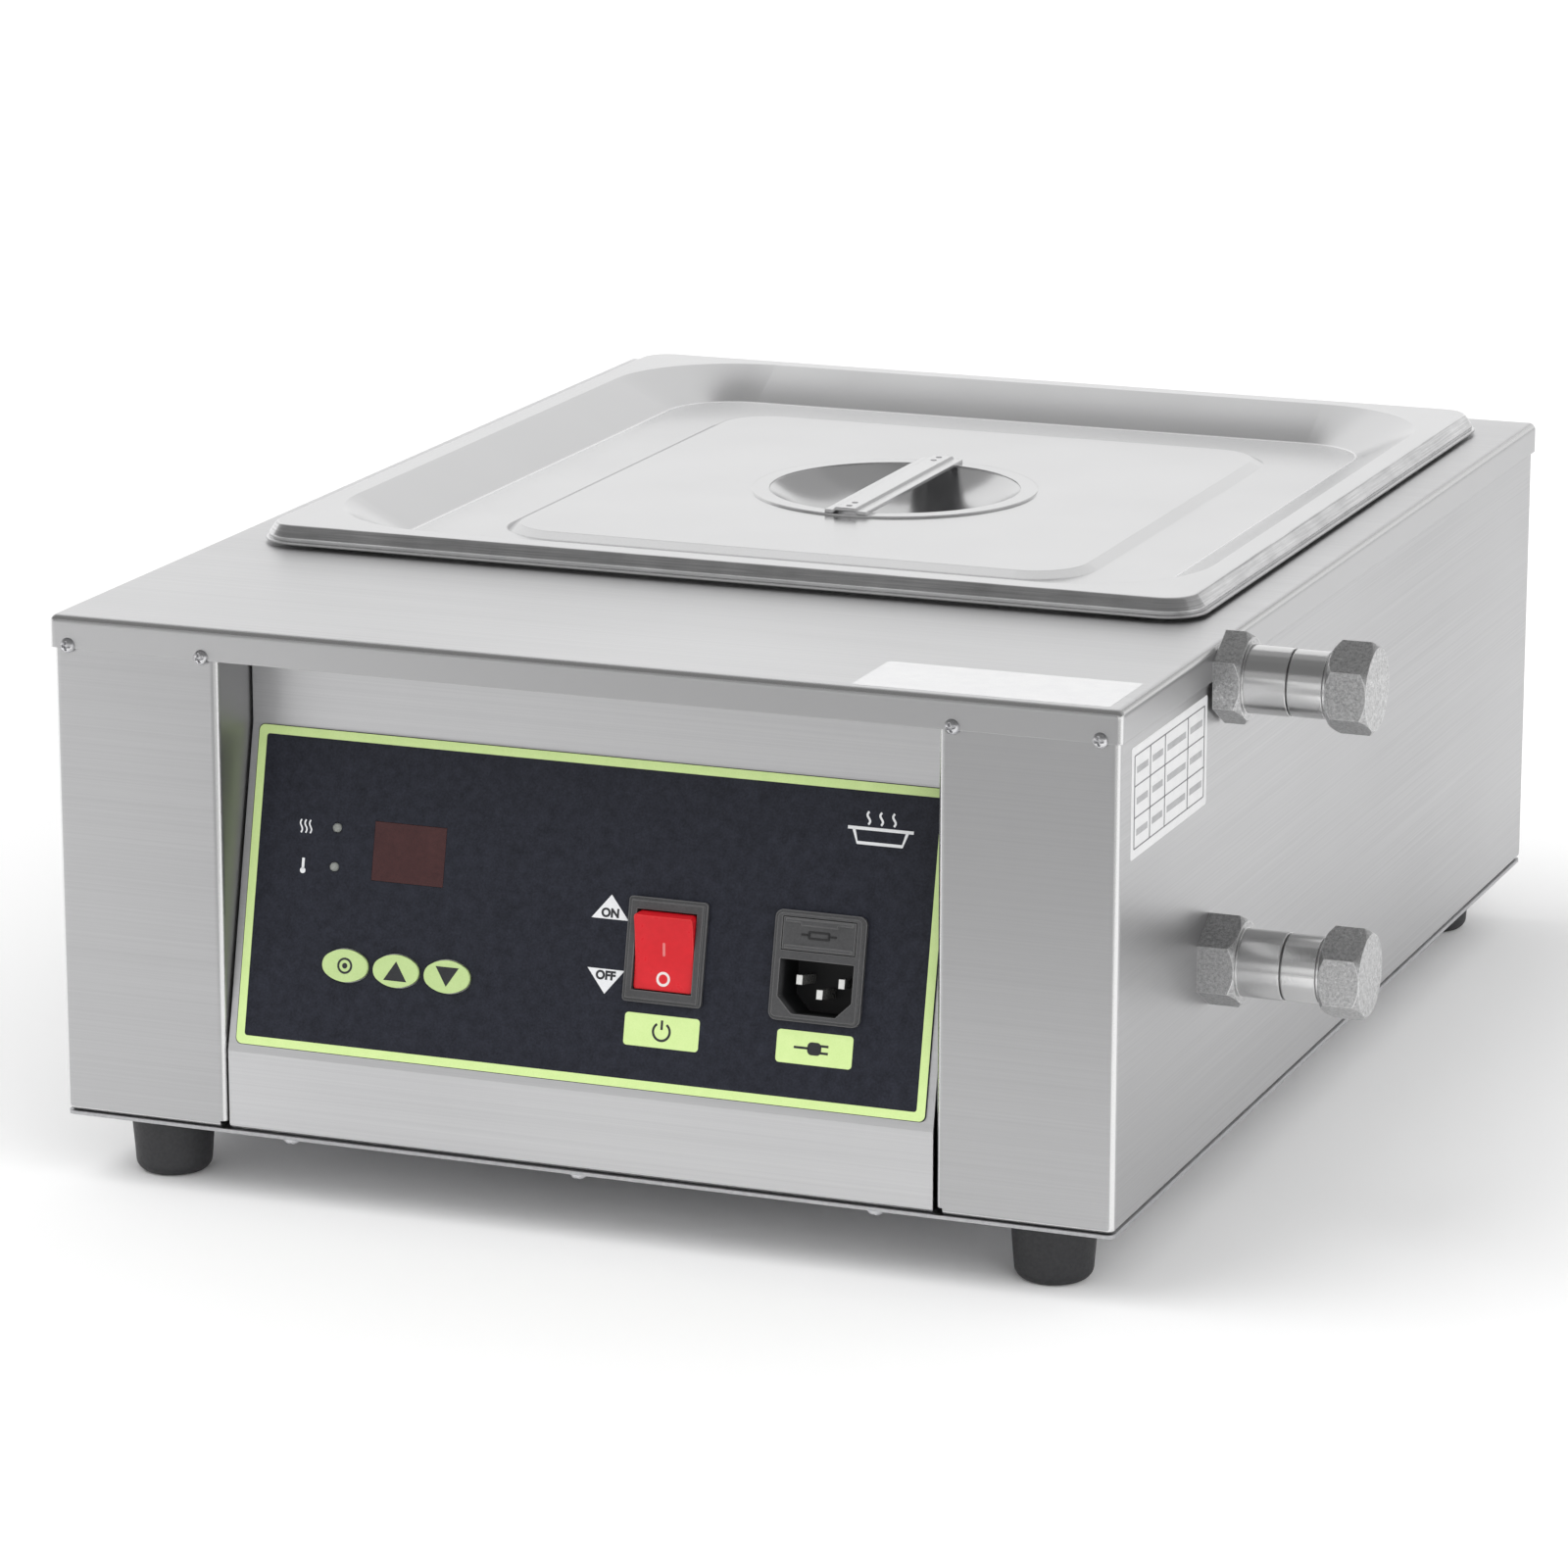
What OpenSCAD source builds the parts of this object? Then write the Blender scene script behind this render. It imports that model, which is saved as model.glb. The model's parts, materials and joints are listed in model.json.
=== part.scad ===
// Chocolate melting tank: a pan with a recessed lid over a heated water tank, in a folded steel casing.
// Origin at the centre of the casing's footprint on the bench, front towards -Y, +Z up, millimetres.

/* [Casing] */
// Width of the top plate over its folded lips
body_w = 360; // [352:1:420]
// Depth of the top plate over its folded lips
body_d = 482; // [470:1:560]
// Height from the bottom edge of the casing to the top plate
body_h = 165; // [160:1:210]
// Thickness of the folded steel sheet
sheet = 1; // [0.8:0.1:1.2]
// Outside radius of the sheet bends
bend_r = 2.5; // [2:0.1:4]
// Depth of the lip folded down round the top plate
lip_h = 10.5; // [9:0.5:14]
// Gap between the lip and the casing wall
lip_gap = 0.1; // [0.05:0.05:0.3]
// Width of a front post, from the side of the body to the window
post_w = 59.1; // [56:0.1:65]
// Depth of the return behind each front post
post_return = 30; // [26:1:45]
// Width of the flange turned in round the bottom of the casing
casing_flange = 14; // [12:1:20]
// Thickness of the base plate
base_t = 1.2; // [1:0.1:2]
// Distance of the base plate's edge inside the casing's outer face
base_set = 0.2; // [0:0.1:2]
// Length of a cooling slot in the base plate
vent_l = 40; // [20:1:60]
// Width of a cooling slot
vent_w = 4; // [3:0.5:6]
// Distance between cooling slots
vent_pitch = 12; // [8:1:20]
// Number of cooling slots
vent_count = 9; // [3:1:13]

/* [Feet] */
// Height of the rubber feet
foot_h = 22; // [15:1:35]
// Diameter of a foot at the base plate
foot_top_d = 28; // [24:0.5:34]
// Diameter of a foot at the bench
foot_d = 25; // [22:0.5:30]
// Radius of the edge that meets the bench
foot_edge_r = 4; // [1:0.5:5]
// Distance from the side of the body to a foot's centre
foot_inset_x = 28; // [24:0.5:40]
// Distance from the front or back of the body to a foot's centre
foot_inset_y = 24.5; // [20:0.5:40]
// Diameter of the foot bolts
foot_bolt_d = 5; // [4:0.5:6]
// Rubber between the bolt head and the base plate
foot_web = 7; // [4:0.5:10]

/* [Screws] */
// Diameter of a lip screw's head
lip_head_d = 5; // [4:0.1:7]
// Height of a lip screw's head
lip_head_h = 2; // [1.2:0.1:3]
// Diameter of a lip screw's shank
lip_shank_d = 2.9; // [2.5:0.1:3.5]
// Height of the lip screws above the lip's lower edge
lip_screw_up = 1; // [0.5:0.1:3]
// Distance from the side of the body to the outer front screws
lip_end_x = 7; // [6:0.5:12]
// Distance from the window's edge to the inner front screws
lip_window_x = 5; // [4:0.5:10]
// Diameter of a base screw's head
base_head_d = 7; // [5:0.1:8]
// Height of a base screw's head
base_head_h = 2.6; // [1.5:0.1:3.5]
// Diameter of a base screw's shank
base_shank_d = 3.2; // [2.5:0.1:4]
// Distance from the casing's outer face to the base screws
base_screw_in = 4.6; // [4.2:0.1:8]
// Distance from the window's edge to the end base screws of the front and back
base_screw_end = 20.9; // [15:0.1:30]
// Distance from the middle to the base screws along the sides
base_screw_side = 146; // [100:1:180]
// Length of a sheet screw past the sheets it joins
screw_point = 2.5; // [1.5:0.5:4]
// Clearance round a screw's shank
screw_gap = 0.1; // [0.05:0.05:0.2]

/* [Control panel] */
// Bare panel between the overlay and the slope's foot
overlay_foot = 2.7; // [1:0.1:5]
// Thickness of the overlay
overlay_t = 0.6; // [0.3:0.1:0.8]
// Corner radius of the overlay
overlay_r = 2; // [1:0.5:8]
// Bare panel between the overlay and the posts
panel_margin = 3.4; // [2:0.1:6]
// Gap between the panel and the posts
panel_gap = 0.8; // [0.3:0.1:1.2]
// Height of the upright strip above the slope
strip_h = 34; // [25:1:38]
// Depth of the recess at the upright strip
recess_d = 23.5; // [18:0.5:26]
// Height of the upright apron below the slope
apron_h = 26.4; // [20:0.1:28]
// Distance of the apron's face behind the post faces
apron_set = 0.3; // [0.1:0.1:1]
// Width of the panel's folded top and bottom flanges
panel_flange = 14; // [10:1:20]
// Centre of the display from the middle, as a part of the overlay's width
display_part = -0.2638; // [-0.29:0.0001:-0.23]
// Centre of the display below the slope's top
display_s = 37.5; // [30:0.5:40]
// Width of the display window
display_w = 25; // [20:0.5:27]
// Height of the display window
display_h = 19; // [15:0.5:22]
// Indicator lamps from the middle, as a part of the overlay's width
lamp_part = -0.3723; // [-0.42:0.0001:-0.35]
// Upper indicator lamp below the slope's top
lamp_s = 31.4; // [25:0.1:35]
// Distance between the indicator lamps
lamp_pitch = 12.5; // [9:0.1:18]
// Diameter of an indicator lamp
lamp_d = 3; // [3:0.1:5]
// First key from the middle, as a part of the overlay's width
key_part = -0.3438; // [-0.37:0.0001:-0.33]
// Keys below the slope's top
key_s = 74.8; // [70:0.1:80]
// Distance between keys
key_pitch = 17.7; // [17:0.1:20]
// Width of an oval key
key_w = 15.8; // [14:0.1:16.5]
// Height of an oval key
key_h = 10.4; // [9:0.1:12]
// Radius of a key's round ends
key_end_r = 3.9; // [3:0.1:4.2]
// Thickness of a key
key_t = 1; // [0.8:0.1:1.5]
// Travel of a key
key_travel = 0.6; // [0.3:0.1:0.8]
// Gap round a key
key_gap = 0.3; // [0.2:0.05:0.5]
// Diameter of a key's stem
key_stem_d = 5; // [4:0.1:6]
// Length of a key's stem behind the panel's face
key_stem_l = 6; // [4:0.1:7]
// Width of the collar that holds a key in the panel
key_collar = 1.6; // [1:0.1:2.5]
// Thickness of the collar that holds a key in the panel
key_collar_t = 1.2; // [0.8:0.1:2]

/* [Rocker switch] */
// Centre of the switch from the middle, as a part of the overlay's width
switch_part = 0.1191; // [0.1:0.0001:0.14]
// Centre of the switch below the slope's top
switch_s = 59.5; // [50:0.5:65]
// Width of the switch bezel
bezel_w = 26.5; // [26:0.1:30]
// Height of the switch bezel
bezel_h = 33; // [32.6:0.1:36]
// Thickness of the switch bezel's outer flange
bezel_t = 1.3; // [1:0.1:2]
// Width of the step round the switch bezel's raised frame
bezel_step = 1.2; // [0.8:0.1:1.4]
// Height of the switch bezel's raised frame
bezel_rise = 0.9; // [0.5:0.1:1.5]
// Width of the switch body behind the panel
switch_body_w = 23.8; // [23:0.1:25.5]
// Height of the switch body behind the panel
switch_body_h = 30.4; // [30:0.1:32]
// Depth of the switch body behind the panel
switch_body_d = 22; // [16:0.5:30]
// Width of the rocker
rocker_w = 19.6; // [18:0.1:20.4]
// Radius of the rocker's ends about its pivot
rocker_r = 12.4; // [11.5:0.1:13.2]
// Radius of the rocker's corners
rocker_corner = 1.6; // [0.5:0.1:3]
// Height of the rocker's hollow face above its pivot
rocker_mid = 2.2; // [1.8:0.1:4]
// Rise of the rocker's ends above the middle of its face
rocker_dish = 1.4; // [0.8:0.1:2]
// Tilt of the rocker each way
rocker_tilt = 11; // [6:0.5:12]
// Diameter of the rocker's pivot pins
rocker_pin_d = 3; // [2:0.1:3.4]
// Length of the rocker's pivot pins
rocker_pin_l = 1.4; // [0.8:0.1:1.6]
// Running clearance round the pivot pins
rocker_fit = 0.05; // [0.02:0.01:0.1]
// Gap round the rocker
rocker_gap = 0.3; // [0.2:0.05:0.5]

/* [Mains inlet] */
// Centre of the inlet from the middle, as a part of the overlay's width
inlet_part = 0.3362; // [0.31:0.0001:0.38]
// Centre of the inlet below the slope's top
inlet_s = 59.5; // [50:0.5:65]
// Width of the inlet's bezel
inlet_w = 30.2; // [30:0.1:34]
// Height of the inlet's bezel
inlet_h = 34.4; // [34:0.1:38]
// Thickness of the inlet bezel's outer flange
inlet_t = 1.6; // [1.2:0.1:2.5]
// Corner radius of the inlet's bezel
inlet_r = 2.6; // [1.6:0.1:4]
// Width of the step round the inlet bezel's raised frame
inlet_step = 1.1; // [0.8:0.1:1.4]
// Height of the inlet bezel's raised frame
inlet_rise = 0.9; // [0.5:0.1:1.5]
// Depth of the inlet's body behind the panel
inlet_d = 28; // [26:0.5:40]
// Wall between the inlet's body edge and its bezel edge
inlet_rim = 1.6; // [1:0.1:2]
// Width of the plug socket
socket_w = 24.4; // [23.5:0.1:25]
// Height of the plug socket
socket_h = 16.8; // [16:0.1:17.2]
// Chamfer of the socket's lower corners
socket_chamfer = 5; // [3:0.1:6]
// Depth of the plug socket
socket_d = 17; // [15:0.1:20]
// Length of the pins inside the socket
pin_l = 12.5; // [11:0.1:14.6]
// Width of a pin
pin_w = 2; // [1.8:0.1:2.4]
// Height of a pin
pin_h = 3; // [2.5:0.1:4]
// Sideways distance of the live pins from the middle
pin_x = 7; // [6:0.1:7.5]
// Distance of the earth pin below the live pins
earth_drop = 4; // [3.5:0.1:5]
// Width of the fuse drawer's front
drawer_w = 24; // [22:0.1:25]
// Height of the fuse drawer's front
drawer_h = 10; // [9:0.1:10.4]
// Thickness of the fuse drawer's front
drawer_t = 1.6; // [1.2:0.1:2]
// Width of the ribs on the fuse drawer's front
drawer_rib = 0.9; // [0.6:0.1:1.2]
// Height of the ribs on the fuse drawer's front
drawer_rib_h = 0.5; // [0.3:0.1:0.8]
// Depth of the fuse drawer behind the bezel
drawer_d = 22; // [18:0.5:24]
// Gap round the fuse drawer
drawer_gap = 0.3; // [0.2:0.05:0.5]
// Diameter of the fuse
fuse_d = 5.2; // [5:0.1:5.4]
// Length of the fuse
fuse_l = 18; // [15:0.5:18.4]

/* [Control board] */
// Width of the board, as a part of the overlay's width
board_part = 0.4085; // [0.39:0.0001:0.43]
// Height of the board
board_h = 76; // [74:1:84]
// Thickness of the board
board_t = 1.6; // [1.2:0.1:2]
// Distance from the panel's face to the board's front
board_gap = 12; // [11:0.5:16]
// Centre of the board from the middle, as a part of the overlay's width
board_place = -0.2638; // [-0.28:0.0001:-0.24]
// Centre of the board below the slope's top
board_s = 53; // [50:0.5:58]
// Distance from the board's edges to its fixings
board_hole_in = 4; // [3.5:0.5:6]
// Diameter of the standoffs
standoff_d = 6; // [5:0.5:7]
// Diameter of the board screws
board_screw_d = 3; // [2.5:0.1:3.5]
// Width of the relay
relay_w = 19; // [15:0.5:20]
// Height of the relay
relay_h = 15.5; // [12:0.5:18]
// Depth of the relay behind the board
relay_d = 15.5; // [12:0.5:18]
// Width of the transformer's core
core_w = 30; // [24:0.5:32]
// Height of the transformer's core
core_h = 25; // [20:0.5:28]
// Thickness of the transformer's core
core_t = 12; // [8:0.5:14]
// Width of the transformer's winding
winding_w = 20; // [14:0.5:22]
// Depth of the transformer's winding behind the board
winding_d = 22; // [18:0.5:26]
// Width of one screw terminal
terminal_way = 7.5; // [6:0.1:8]
// Height of the terminal block on the board
terminal_h = 9; // [7:0.5:11]
// Depth of the terminal block behind the board
terminal_d = 12; // [9:0.5:14]
// Distance from the board's lower edge to the middle of the terminal block
terminal_up = 16; // [14:0.5:20]

/* [Pan and lid] */
// Distance from the side of the body to the pan's rim
pan_side = 15; // [10:0.5:18]
// Distance from the front of the body to the pan's rim
pan_front = 117.5; // [115:0.5:125]
// Distance from the back of the body to the pan's rim
pan_back = 19.5; // [12:0.5:40]
// Corner radius of the pan's rim
pan_rim_r = 14; // [10:1:20]
// Width of the rim at the pan's sides
pan_flange_x = 14; // [13:0.5:20]
// Width of the rim at the pan's front and back
pan_flange_y = 14.5; // [13:0.5:20]
// Corner radius of the pan's wall
pan_corner_r = 46; // [40:1:60]
// Depth of the pan inside
pan_depth = 65; // [55:1:75]
// Slope of the pan's wall, measured at its foot
pan_taper = 4; // [2:0.5:8]
// Radius between the pan's wall and floor
pan_foot_r = 14; // [8:0.5:20]
// Radius between the pan's wall and rim
pan_bend_r = 3; // [2:0.1:3.1]
// Thickness of the pan's sheet
pan_t = 0.8; // [0.7:0.1:1.2]
// Gap between the pan's wall and the collar
pan_gap = 3.2; // [3.2:0.1:5]
// Height of the collar turned up round the top plate's opening
collar_h = 1.2; // [0.8:0.1:3]
// Distance of the lid's skirt inside the pan's rim
lid_inset = 1; // [0.5:0.1:3]
// Height of the lid's skirt
lid_skirt = 5.2; // [4:0.1:8]
// Corner radius of the lid
lid_r = 13; // [9:0.5:20]
// Width of the skirt's sloping part from hem to ledge
lid_edge_in = 3.5; // [2:0.1:4.5]
// Height of the upright hem along the bottom of the skirt
lid_hem = 1.3; // [0.8:0.1:2.5]
// Radius of the lid's outer edge
lid_edge_r = 1.5; // [1:0.1:3]
// Thickness of the lid's sheet
lid_t = 0.8; // [0.7:0.1:1.2]
// Width of the flat ledge round the lid
lid_ledge = 10.5; // [9:0.1:14]
// Corner radius of the lid's tray at the ledge
lid_tray_r = 46; // [40:1:60]
// Width of the tray's sloping wall
lid_run = 21; // [16:0.5:26]
// Depth of the tray below the ledge
lid_drop = 10.7; // [8:0.1:12]
// Width of the flat channel round the raised panel
lid_channel = 27; // [20:0.5:32]
// Corner radius of the raised panel at its foot
lid_panel_r = 22; // [16:1:30]
// Width of the raised panel's sloping edge
lid_slope = 4; // [2:0.5:6]
// Rise of the raised panel
lid_rise = 2; // [1:0.1:3]
// Radius of the finger bowl
bowl_r = 44; // [40:0.5:50]
// Depth of the finger bowl
bowl_depth = 16; // [12:0.5:18]
// Width of the step round the finger bowl
bowl_ring = 6; // [5:0.5:9]
// Height of the step round the finger bowl
bowl_step = 0.6; // [0.4:0.1:1]
// Width of the strap handle
strap_w = 15; // [12:0.5:20]
// Thickness of the strap handle
strap_t = 1.2; // [1:0.1:2]
// Height of the raised rib along the strap
strap_rib = 1; // [0.5:0.1:1.5]
// Width of the flat edge each side of the strap's rib
strap_edge = 3; // [2:0.1:4]

/* [Water tank] */
// Depth of the tank below the top plate
tank_h = 110; // [100:1:120]
// Distance of the tank's wall outside the opening
tank_step = 2; // [1:0.5:5]
// Corner radius of the tank
tank_r = 20; // [10:1:40]
// Width of the tank's flange under the top plate
tank_flange = 9; // [6:0.5:9.5]
// Diameter of the heating element
heater_d = 8; // [6.5:0.1:8.5]
// Distance between the heating element's legs, as a part of the tank's width
heater_part = 0.3841; // [0.3:0.0001:0.41]
// Distance from the heating element's loop to the tank's back wall
heater_end = 56.4; // [30:0.1:100]
// Height of the heating element above the tank's floor
heater_rise = 16; // [14:0.5:22]
// Sideways place of the temperature probe, as a part of the tank's width
probe_part = -0.3265; // [-0.38:0.0001:-0.3]
// Diameter of the temperature probe
probe_d = 6; // [4:0.1:6.5]
// Length of the temperature probe inside the tank
probe_l = 60; // [40:1:90]
// Length of the heating element and the probe outside the tank
lead_l = 25; // [22:1:32]
// Diameter of a gland's thread
gland_d = 16; // [14:0.5:18]
// Diameter of a gland's flange
gland_flange_d = 23; // [21:0.5:26]
// Thickness of a gland's flange
gland_flange_t = 2; // [1.5:0.1:3]
// Thickness of a gland's seal
gland_seal_t = 1.5; // [1:0.1:3]
// Width across the flats of a gland's nut
gland_nut_af = 22; // [20:0.5:24]
// Thickness of a gland's nut
gland_nut_t = 6; // [4:0.5:8]
// Length of a gland outside the tank
gland_l = 14; // [11:0.5:18]
// Clearance of a tube in its gland and of a nut on its thread
gland_fit = 0.05; // [0.02:0.01:0.1]
// Diameter of the thermal cut-out
cutout_d = 16; // [14:0.5:20]
// Sideways place of the thermal cut-out, as a part of the tank's width
cutout_part = 0.064; // [0:0.001:0.1]

/* [Pipes and caps] */
// Outside diameter of the pipes
pipe_d = 14; // [12:0.1:14.5]
// Bore of the pipes
pipe_bore = 10; // [8:0.1:10.5]
// Radius of the pipes' elbows at their middle
pipe_bend_r = 18; // [15:0.5:20]
// Sideways place of the pipes' roots, as a part of the tank's width
pipe_part = 0.3841; // [0.32:0.0001:0.405]
// Distance from the tank to the drain's axis
drain_out = 31.8; // [26:0.1:40]
// Height of the drain's axis above the tank's floor
drain_rise = 9.5; // [8:0.1:14]
// Distance from the tank to the overflow's axis
overflow_out = 23.8; // [21:0.1:30]
// Depth of the overflow's axis below the top plate
overflow_drop = 11.7; // [11.2:0.1:14]
// Gap round a pipe in the casing
pipe_gap = 0.5; // [0.3:0.1:1]
// Width across the flats of the union and cap hexagons
hex_af = 26; // [24:0.5:30]
// Length of the drain union's hexagon
drain_hex_l = 12; // [8:0.1:16]
// Length of the overflow union's hexagon
overflow_hex_l = 8.7; // [8:0.1:16]
// Diameter of the union's barrel
union_d = 21.8; // [20.6:0.1:23.5]
// Length of the union's barrel
union_l = 14; // [10:0.5:20]
// Depth of the pipe in its union
pipe_in = 18; // [15:0.5:20]
// Diameter of the thread that carries a cap
thread_d = 18; // [16:0.1:18.6]
// Length of the thread that carries a cap
thread_l = 12; // [10.5:0.1:16]
// Running clearance of a cap on its thread
thread_fit = 0.08; // [0.03:0.01:0.1]
// Diameter of a cap's round skirt
skirt_d = 21.4; // [20.4:0.1:23.5]
// Length of a cap's round skirt
skirt_l = 12.7; // [9:0.1:16]
// Length of the groove between a cap's skirt and hexagon
neck_l = 1.6; // [1:0.1:2.5]
// Depth of the groove between a cap's skirt and hexagon
neck_in = 0.8; // [0.4:0.1:1]
// Length of a cap's hexagon
cap_hex_l = 13.4; // [9:0.1:18]
// Gap between a cap and its union
cap_gap = 0.6; // [0.3:0.1:1.5]
// Thickness of the sealing washer in a cap
washer_t = 1.5; // [1:0.1:2.5]
// Gap round the sealing washer in a cap
washer_gap = 0.4; // [0.3:0.1:0.8]
// Diameter of the earth stud
earth_d = 4; // [3:0.5:5]
// Height of the earth stud
earth_l = 14; // [10:1:20]
// Sideways distance of the earth stud from the inlet
earth_side = 30; // [22:1:34]

/* [Hidden] */
$fn = 64;

steel = [0.78, 0.78, 0.79];
dull_steel = [0.66, 0.66, 0.67];
black_plastic = [0.16, 0.16, 0.17];
rubber_grey = [0.22, 0.22, 0.23];
brass = [0.75, 0.6, 0.3];
cut = 1;
wide = 1000;

casing_w = body_w - 2 * (sheet + lip_gap);
casing_d = body_d - 2 * (sheet + lip_gap);
casing_z = foot_h + base_t;
top_z = casing_z + body_h;
top_under = top_z - sheet;
casing_top = top_z - bend_r;
front_y = -casing_d / 2;
lip_screw_z = top_z - lip_h + lip_screw_up;
lip_grip = sheet + lip_gap + sheet + screw_point;

window_w = body_w - 2 * post_w;
overlay_w = window_w - 2 * panel_margin;
panel_w = window_w - 2 * panel_gap;
strip_y = front_y + recess_d;
apron_y = front_y + apron_set;
slope_top_z = top_under - strip_h;
slope_foot_z = casing_z + apron_h;
panel_tilt = atan((strip_y - apron_y) / (slope_top_z - slope_foot_z));
slope_l = (slope_top_z - slope_foot_z) / cos(panel_tilt);
overlay_top = 0.5;
overlay_h = slope_l - overlay_top - overlay_foot;
display_x = display_part * overlay_w;
lamp_x = lamp_part * overlay_w;
key_x = key_part * overlay_w;
switch_x = switch_part * overlay_w;
inlet_x = inlet_part * overlay_w;
board_x = board_place * overlay_w;
board_w = board_part * overlay_w;
base_screw_pitch = window_w / 2 - base_screw_end;

key_lift = key_travel + 0.1;
key_back = -key_stem_l;
switch_cut = 0.1;
cavity_w = rocker_w + 2 * rocker_gap;
cavity_h = 2 * (rocker_r + rocker_gap);
cavity_floor = 9;
pin_hole_l = rocker_w + 2 * (rocker_pin_l + rocker_gap);
pivot_out = 0.4;

inlet_body_w = inlet_w - 2 * inlet_rim;
inlet_body_h = inlet_h - 2 * inlet_rim;
inlet_front = overlay_t + inlet_t + inlet_rise;
socket_s = 6.4;
drawer_s = -10;
drawer_body_w = drawer_w - 2;
drawer_body_h = drawer_h - 2;

board_back = board_gap + board_t;

pan_rim_w = body_w - 2 * pan_side;
pan_rim_d = body_d - pan_front - pan_back;
pan_w = pan_rim_w - 2 * pan_flange_x;
pan_l = pan_rim_d - 2 * pan_flange_y;
opening_w = pan_w + 2 * pan_gap;
opening_l = pan_l + 2 * pan_gap;
opening_r = pan_corner_r + pan_gap;
pan_y = body_d / 2 - pan_back - pan_rim_d / 2;
pan_seat = top_z + collar_h;
pan_top = pan_seat + pan_t;
pan_floor = pan_top - pan_depth;

lid_w = pan_rim_w - 2 * lid_inset;
lid_l = pan_rim_d - 2 * lid_inset;
lid_top = pan_top + lid_skirt;
lid_slope_h = lid_skirt - lid_hem - lid_edge_r;
lid_lean = acos(lid_edge_r / norm([lid_edge_in, lid_slope_h])) - atan2(lid_slope_h, lid_edge_in);
lid_floor = lid_top - lid_drop;
lid_panel_z = lid_floor + lid_rise;
tray_w = lid_w - 2 * lid_ledge;
tray_l = lid_l - 2 * lid_ledge;
floor_w = tray_w - 2 * lid_run;
floor_l = tray_l - 2 * lid_run;
raised_w = floor_w - 2 * lid_channel;
raised_l = floor_l - 2 * lid_channel;
strap_l = 2 * (bowl_r + bowl_ring) - 2;

tank_w = opening_w + 2 * tank_step;
tank_l = opening_l + 2 * tank_step;
tank_floor = top_under - tank_h;
tank_front = pan_y - tank_l / 2 - sheet;
heater_z = tank_floor + heater_rise;
heater_span = heater_part * tank_w;
heater_l = tank_l - heater_end;
probe_x = probe_part * tank_w;
cutout_x = cutout_part * tank_w;
pipe_x = pipe_part * tank_w;

drain_y = tank_front - drain_out;
drain_z = tank_floor + drain_rise;
drain_seat = casing_w / 2;
overflow_y = tank_front - overflow_out;
overflow_z = top_z - overflow_drop;
overflow_seat = body_w / 2;
hex_d = hex_af / cos(30);
drain_thread = drain_seat + drain_hex_l + union_l;
overflow_thread = overflow_seat + overflow_hex_l + union_l;

// Rounded rectangle with true arcs
module rrect(w, d, r) {
  square([w - 2 * r, d], center = true);
  square([w, d - 2 * r], center = true);
  for (x = [-1, 1], y = [-1, 1])
    translate([x * (w / 2 - r), y * (d / 2 - r)]) circle(r);
}

// Flat ring between two rounded rectangles
module rring(w, d, r, wi, di, ri) {
  difference() {
    rrect(w, d, r);
    rrect(wi, di, ri);
  }
}

// Bent strip of sheet: part of a ring between two angles less than 180 degrees apart
module arc_strip(r_in, r_out, a0, a1) {
  mid = (a0 + a1) / 2;
  far = 2 * r_out;
  intersection() {
    difference() {
      circle(r_out);
      circle(r_in);
    }
    polygon([[0, 0], far * [cos(a0), sin(a0)], 2 * far * [cos(mid), sin(mid)], far * [cos(a1), sin(a1)]]);
  }
}

// Profile carried round a rounded rectangle; x is outwards from the path, y is up
module rim_sweep(w, d, r) {
  for (turn = [0, 180]) rotate([0, 0, turn]) {
    translate([w / 2, 0, 0]) rotate([90, 0, 0])
      linear_extrude(height = d - 2 * r, center = true) children();
    rotate([0, 0, 90]) translate([d / 2, 0, 0]) rotate([90, 0, 0])
      linear_extrude(height = w - 2 * r, center = true) children();
    translate([w / 2 - r, d / 2 - r, 0])
      rotate_extrude(angle = 90) translate([r, 0]) children();
    translate([-(w / 2 - r), d / 2 - r, 0]) rotate([0, 0, 90])
      rotate_extrude(angle = 90) translate([r, 0]) children();
  }
}

// Oval of four arcs that run smoothly into each other
module oval(w, h, end_r) {
  a = w / 2;
  b = h / 2;
  side_r = (pow(a - end_r, 2) + b * b - end_r * end_r) / (2 * (b - end_r));
  meet = (a - end_r) * side_r / (side_r - end_r);
  intersection() {
    translate([0, side_r - b]) circle(side_r);
    translate([0, b - side_r]) circle(side_r);
    square([2 * meet, 2 * h], center = true);
  }
  for (x = [-1, 1]) translate([x * (a - end_r), 0]) circle(end_r);
}

// Pan head screw, head above z = 0 and shank below
module pan_screw(head_d, head_h, shank_d, shank_l) {
  head_r = head_d / 2;
  dome_r = (head_r * head_r + head_h * head_h) / (2 * head_h);
  rotate_extrude() intersection() {
    translate([0, head_h - dome_r]) circle(dome_r);
    square([head_r, head_h]);
  }
  translate([0, 0, -shank_l]) cylinder(d = shank_d, h = shank_l);
}

// Frame on the sloping face: x along it, y up the slope, z out of it
module on_panel(x, s, out = 0) {
  translate([0, strip_y, slope_top_z]) rotate([90 - panel_tilt, 0, 0])
    translate([x, -s, out]) children();
}

// Frame along +X from a wall
module along_x(seat, y, z) {
  translate([seat, y, z]) rotate([0, 90, 0]) children();
}

// Frame on the tank's front wall, z out of the tank
module on_tank(x, z) {
  translate([x, tank_front, z]) rotate([90, 0, 0]) children();
}

// Lip screw places, z out of the body and y up
module at_lip_screws() {
  front_x = [body_w / 2 - lip_end_x, window_w / 2 + lip_window_x];
  for (x = front_x, side = [-1, 1], turn = [0, 180])
    rotate([0, 0, turn]) translate([side * x, -body_d / 2, lip_screw_z]) rotate([90, 0, 0]) children();
}

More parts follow.
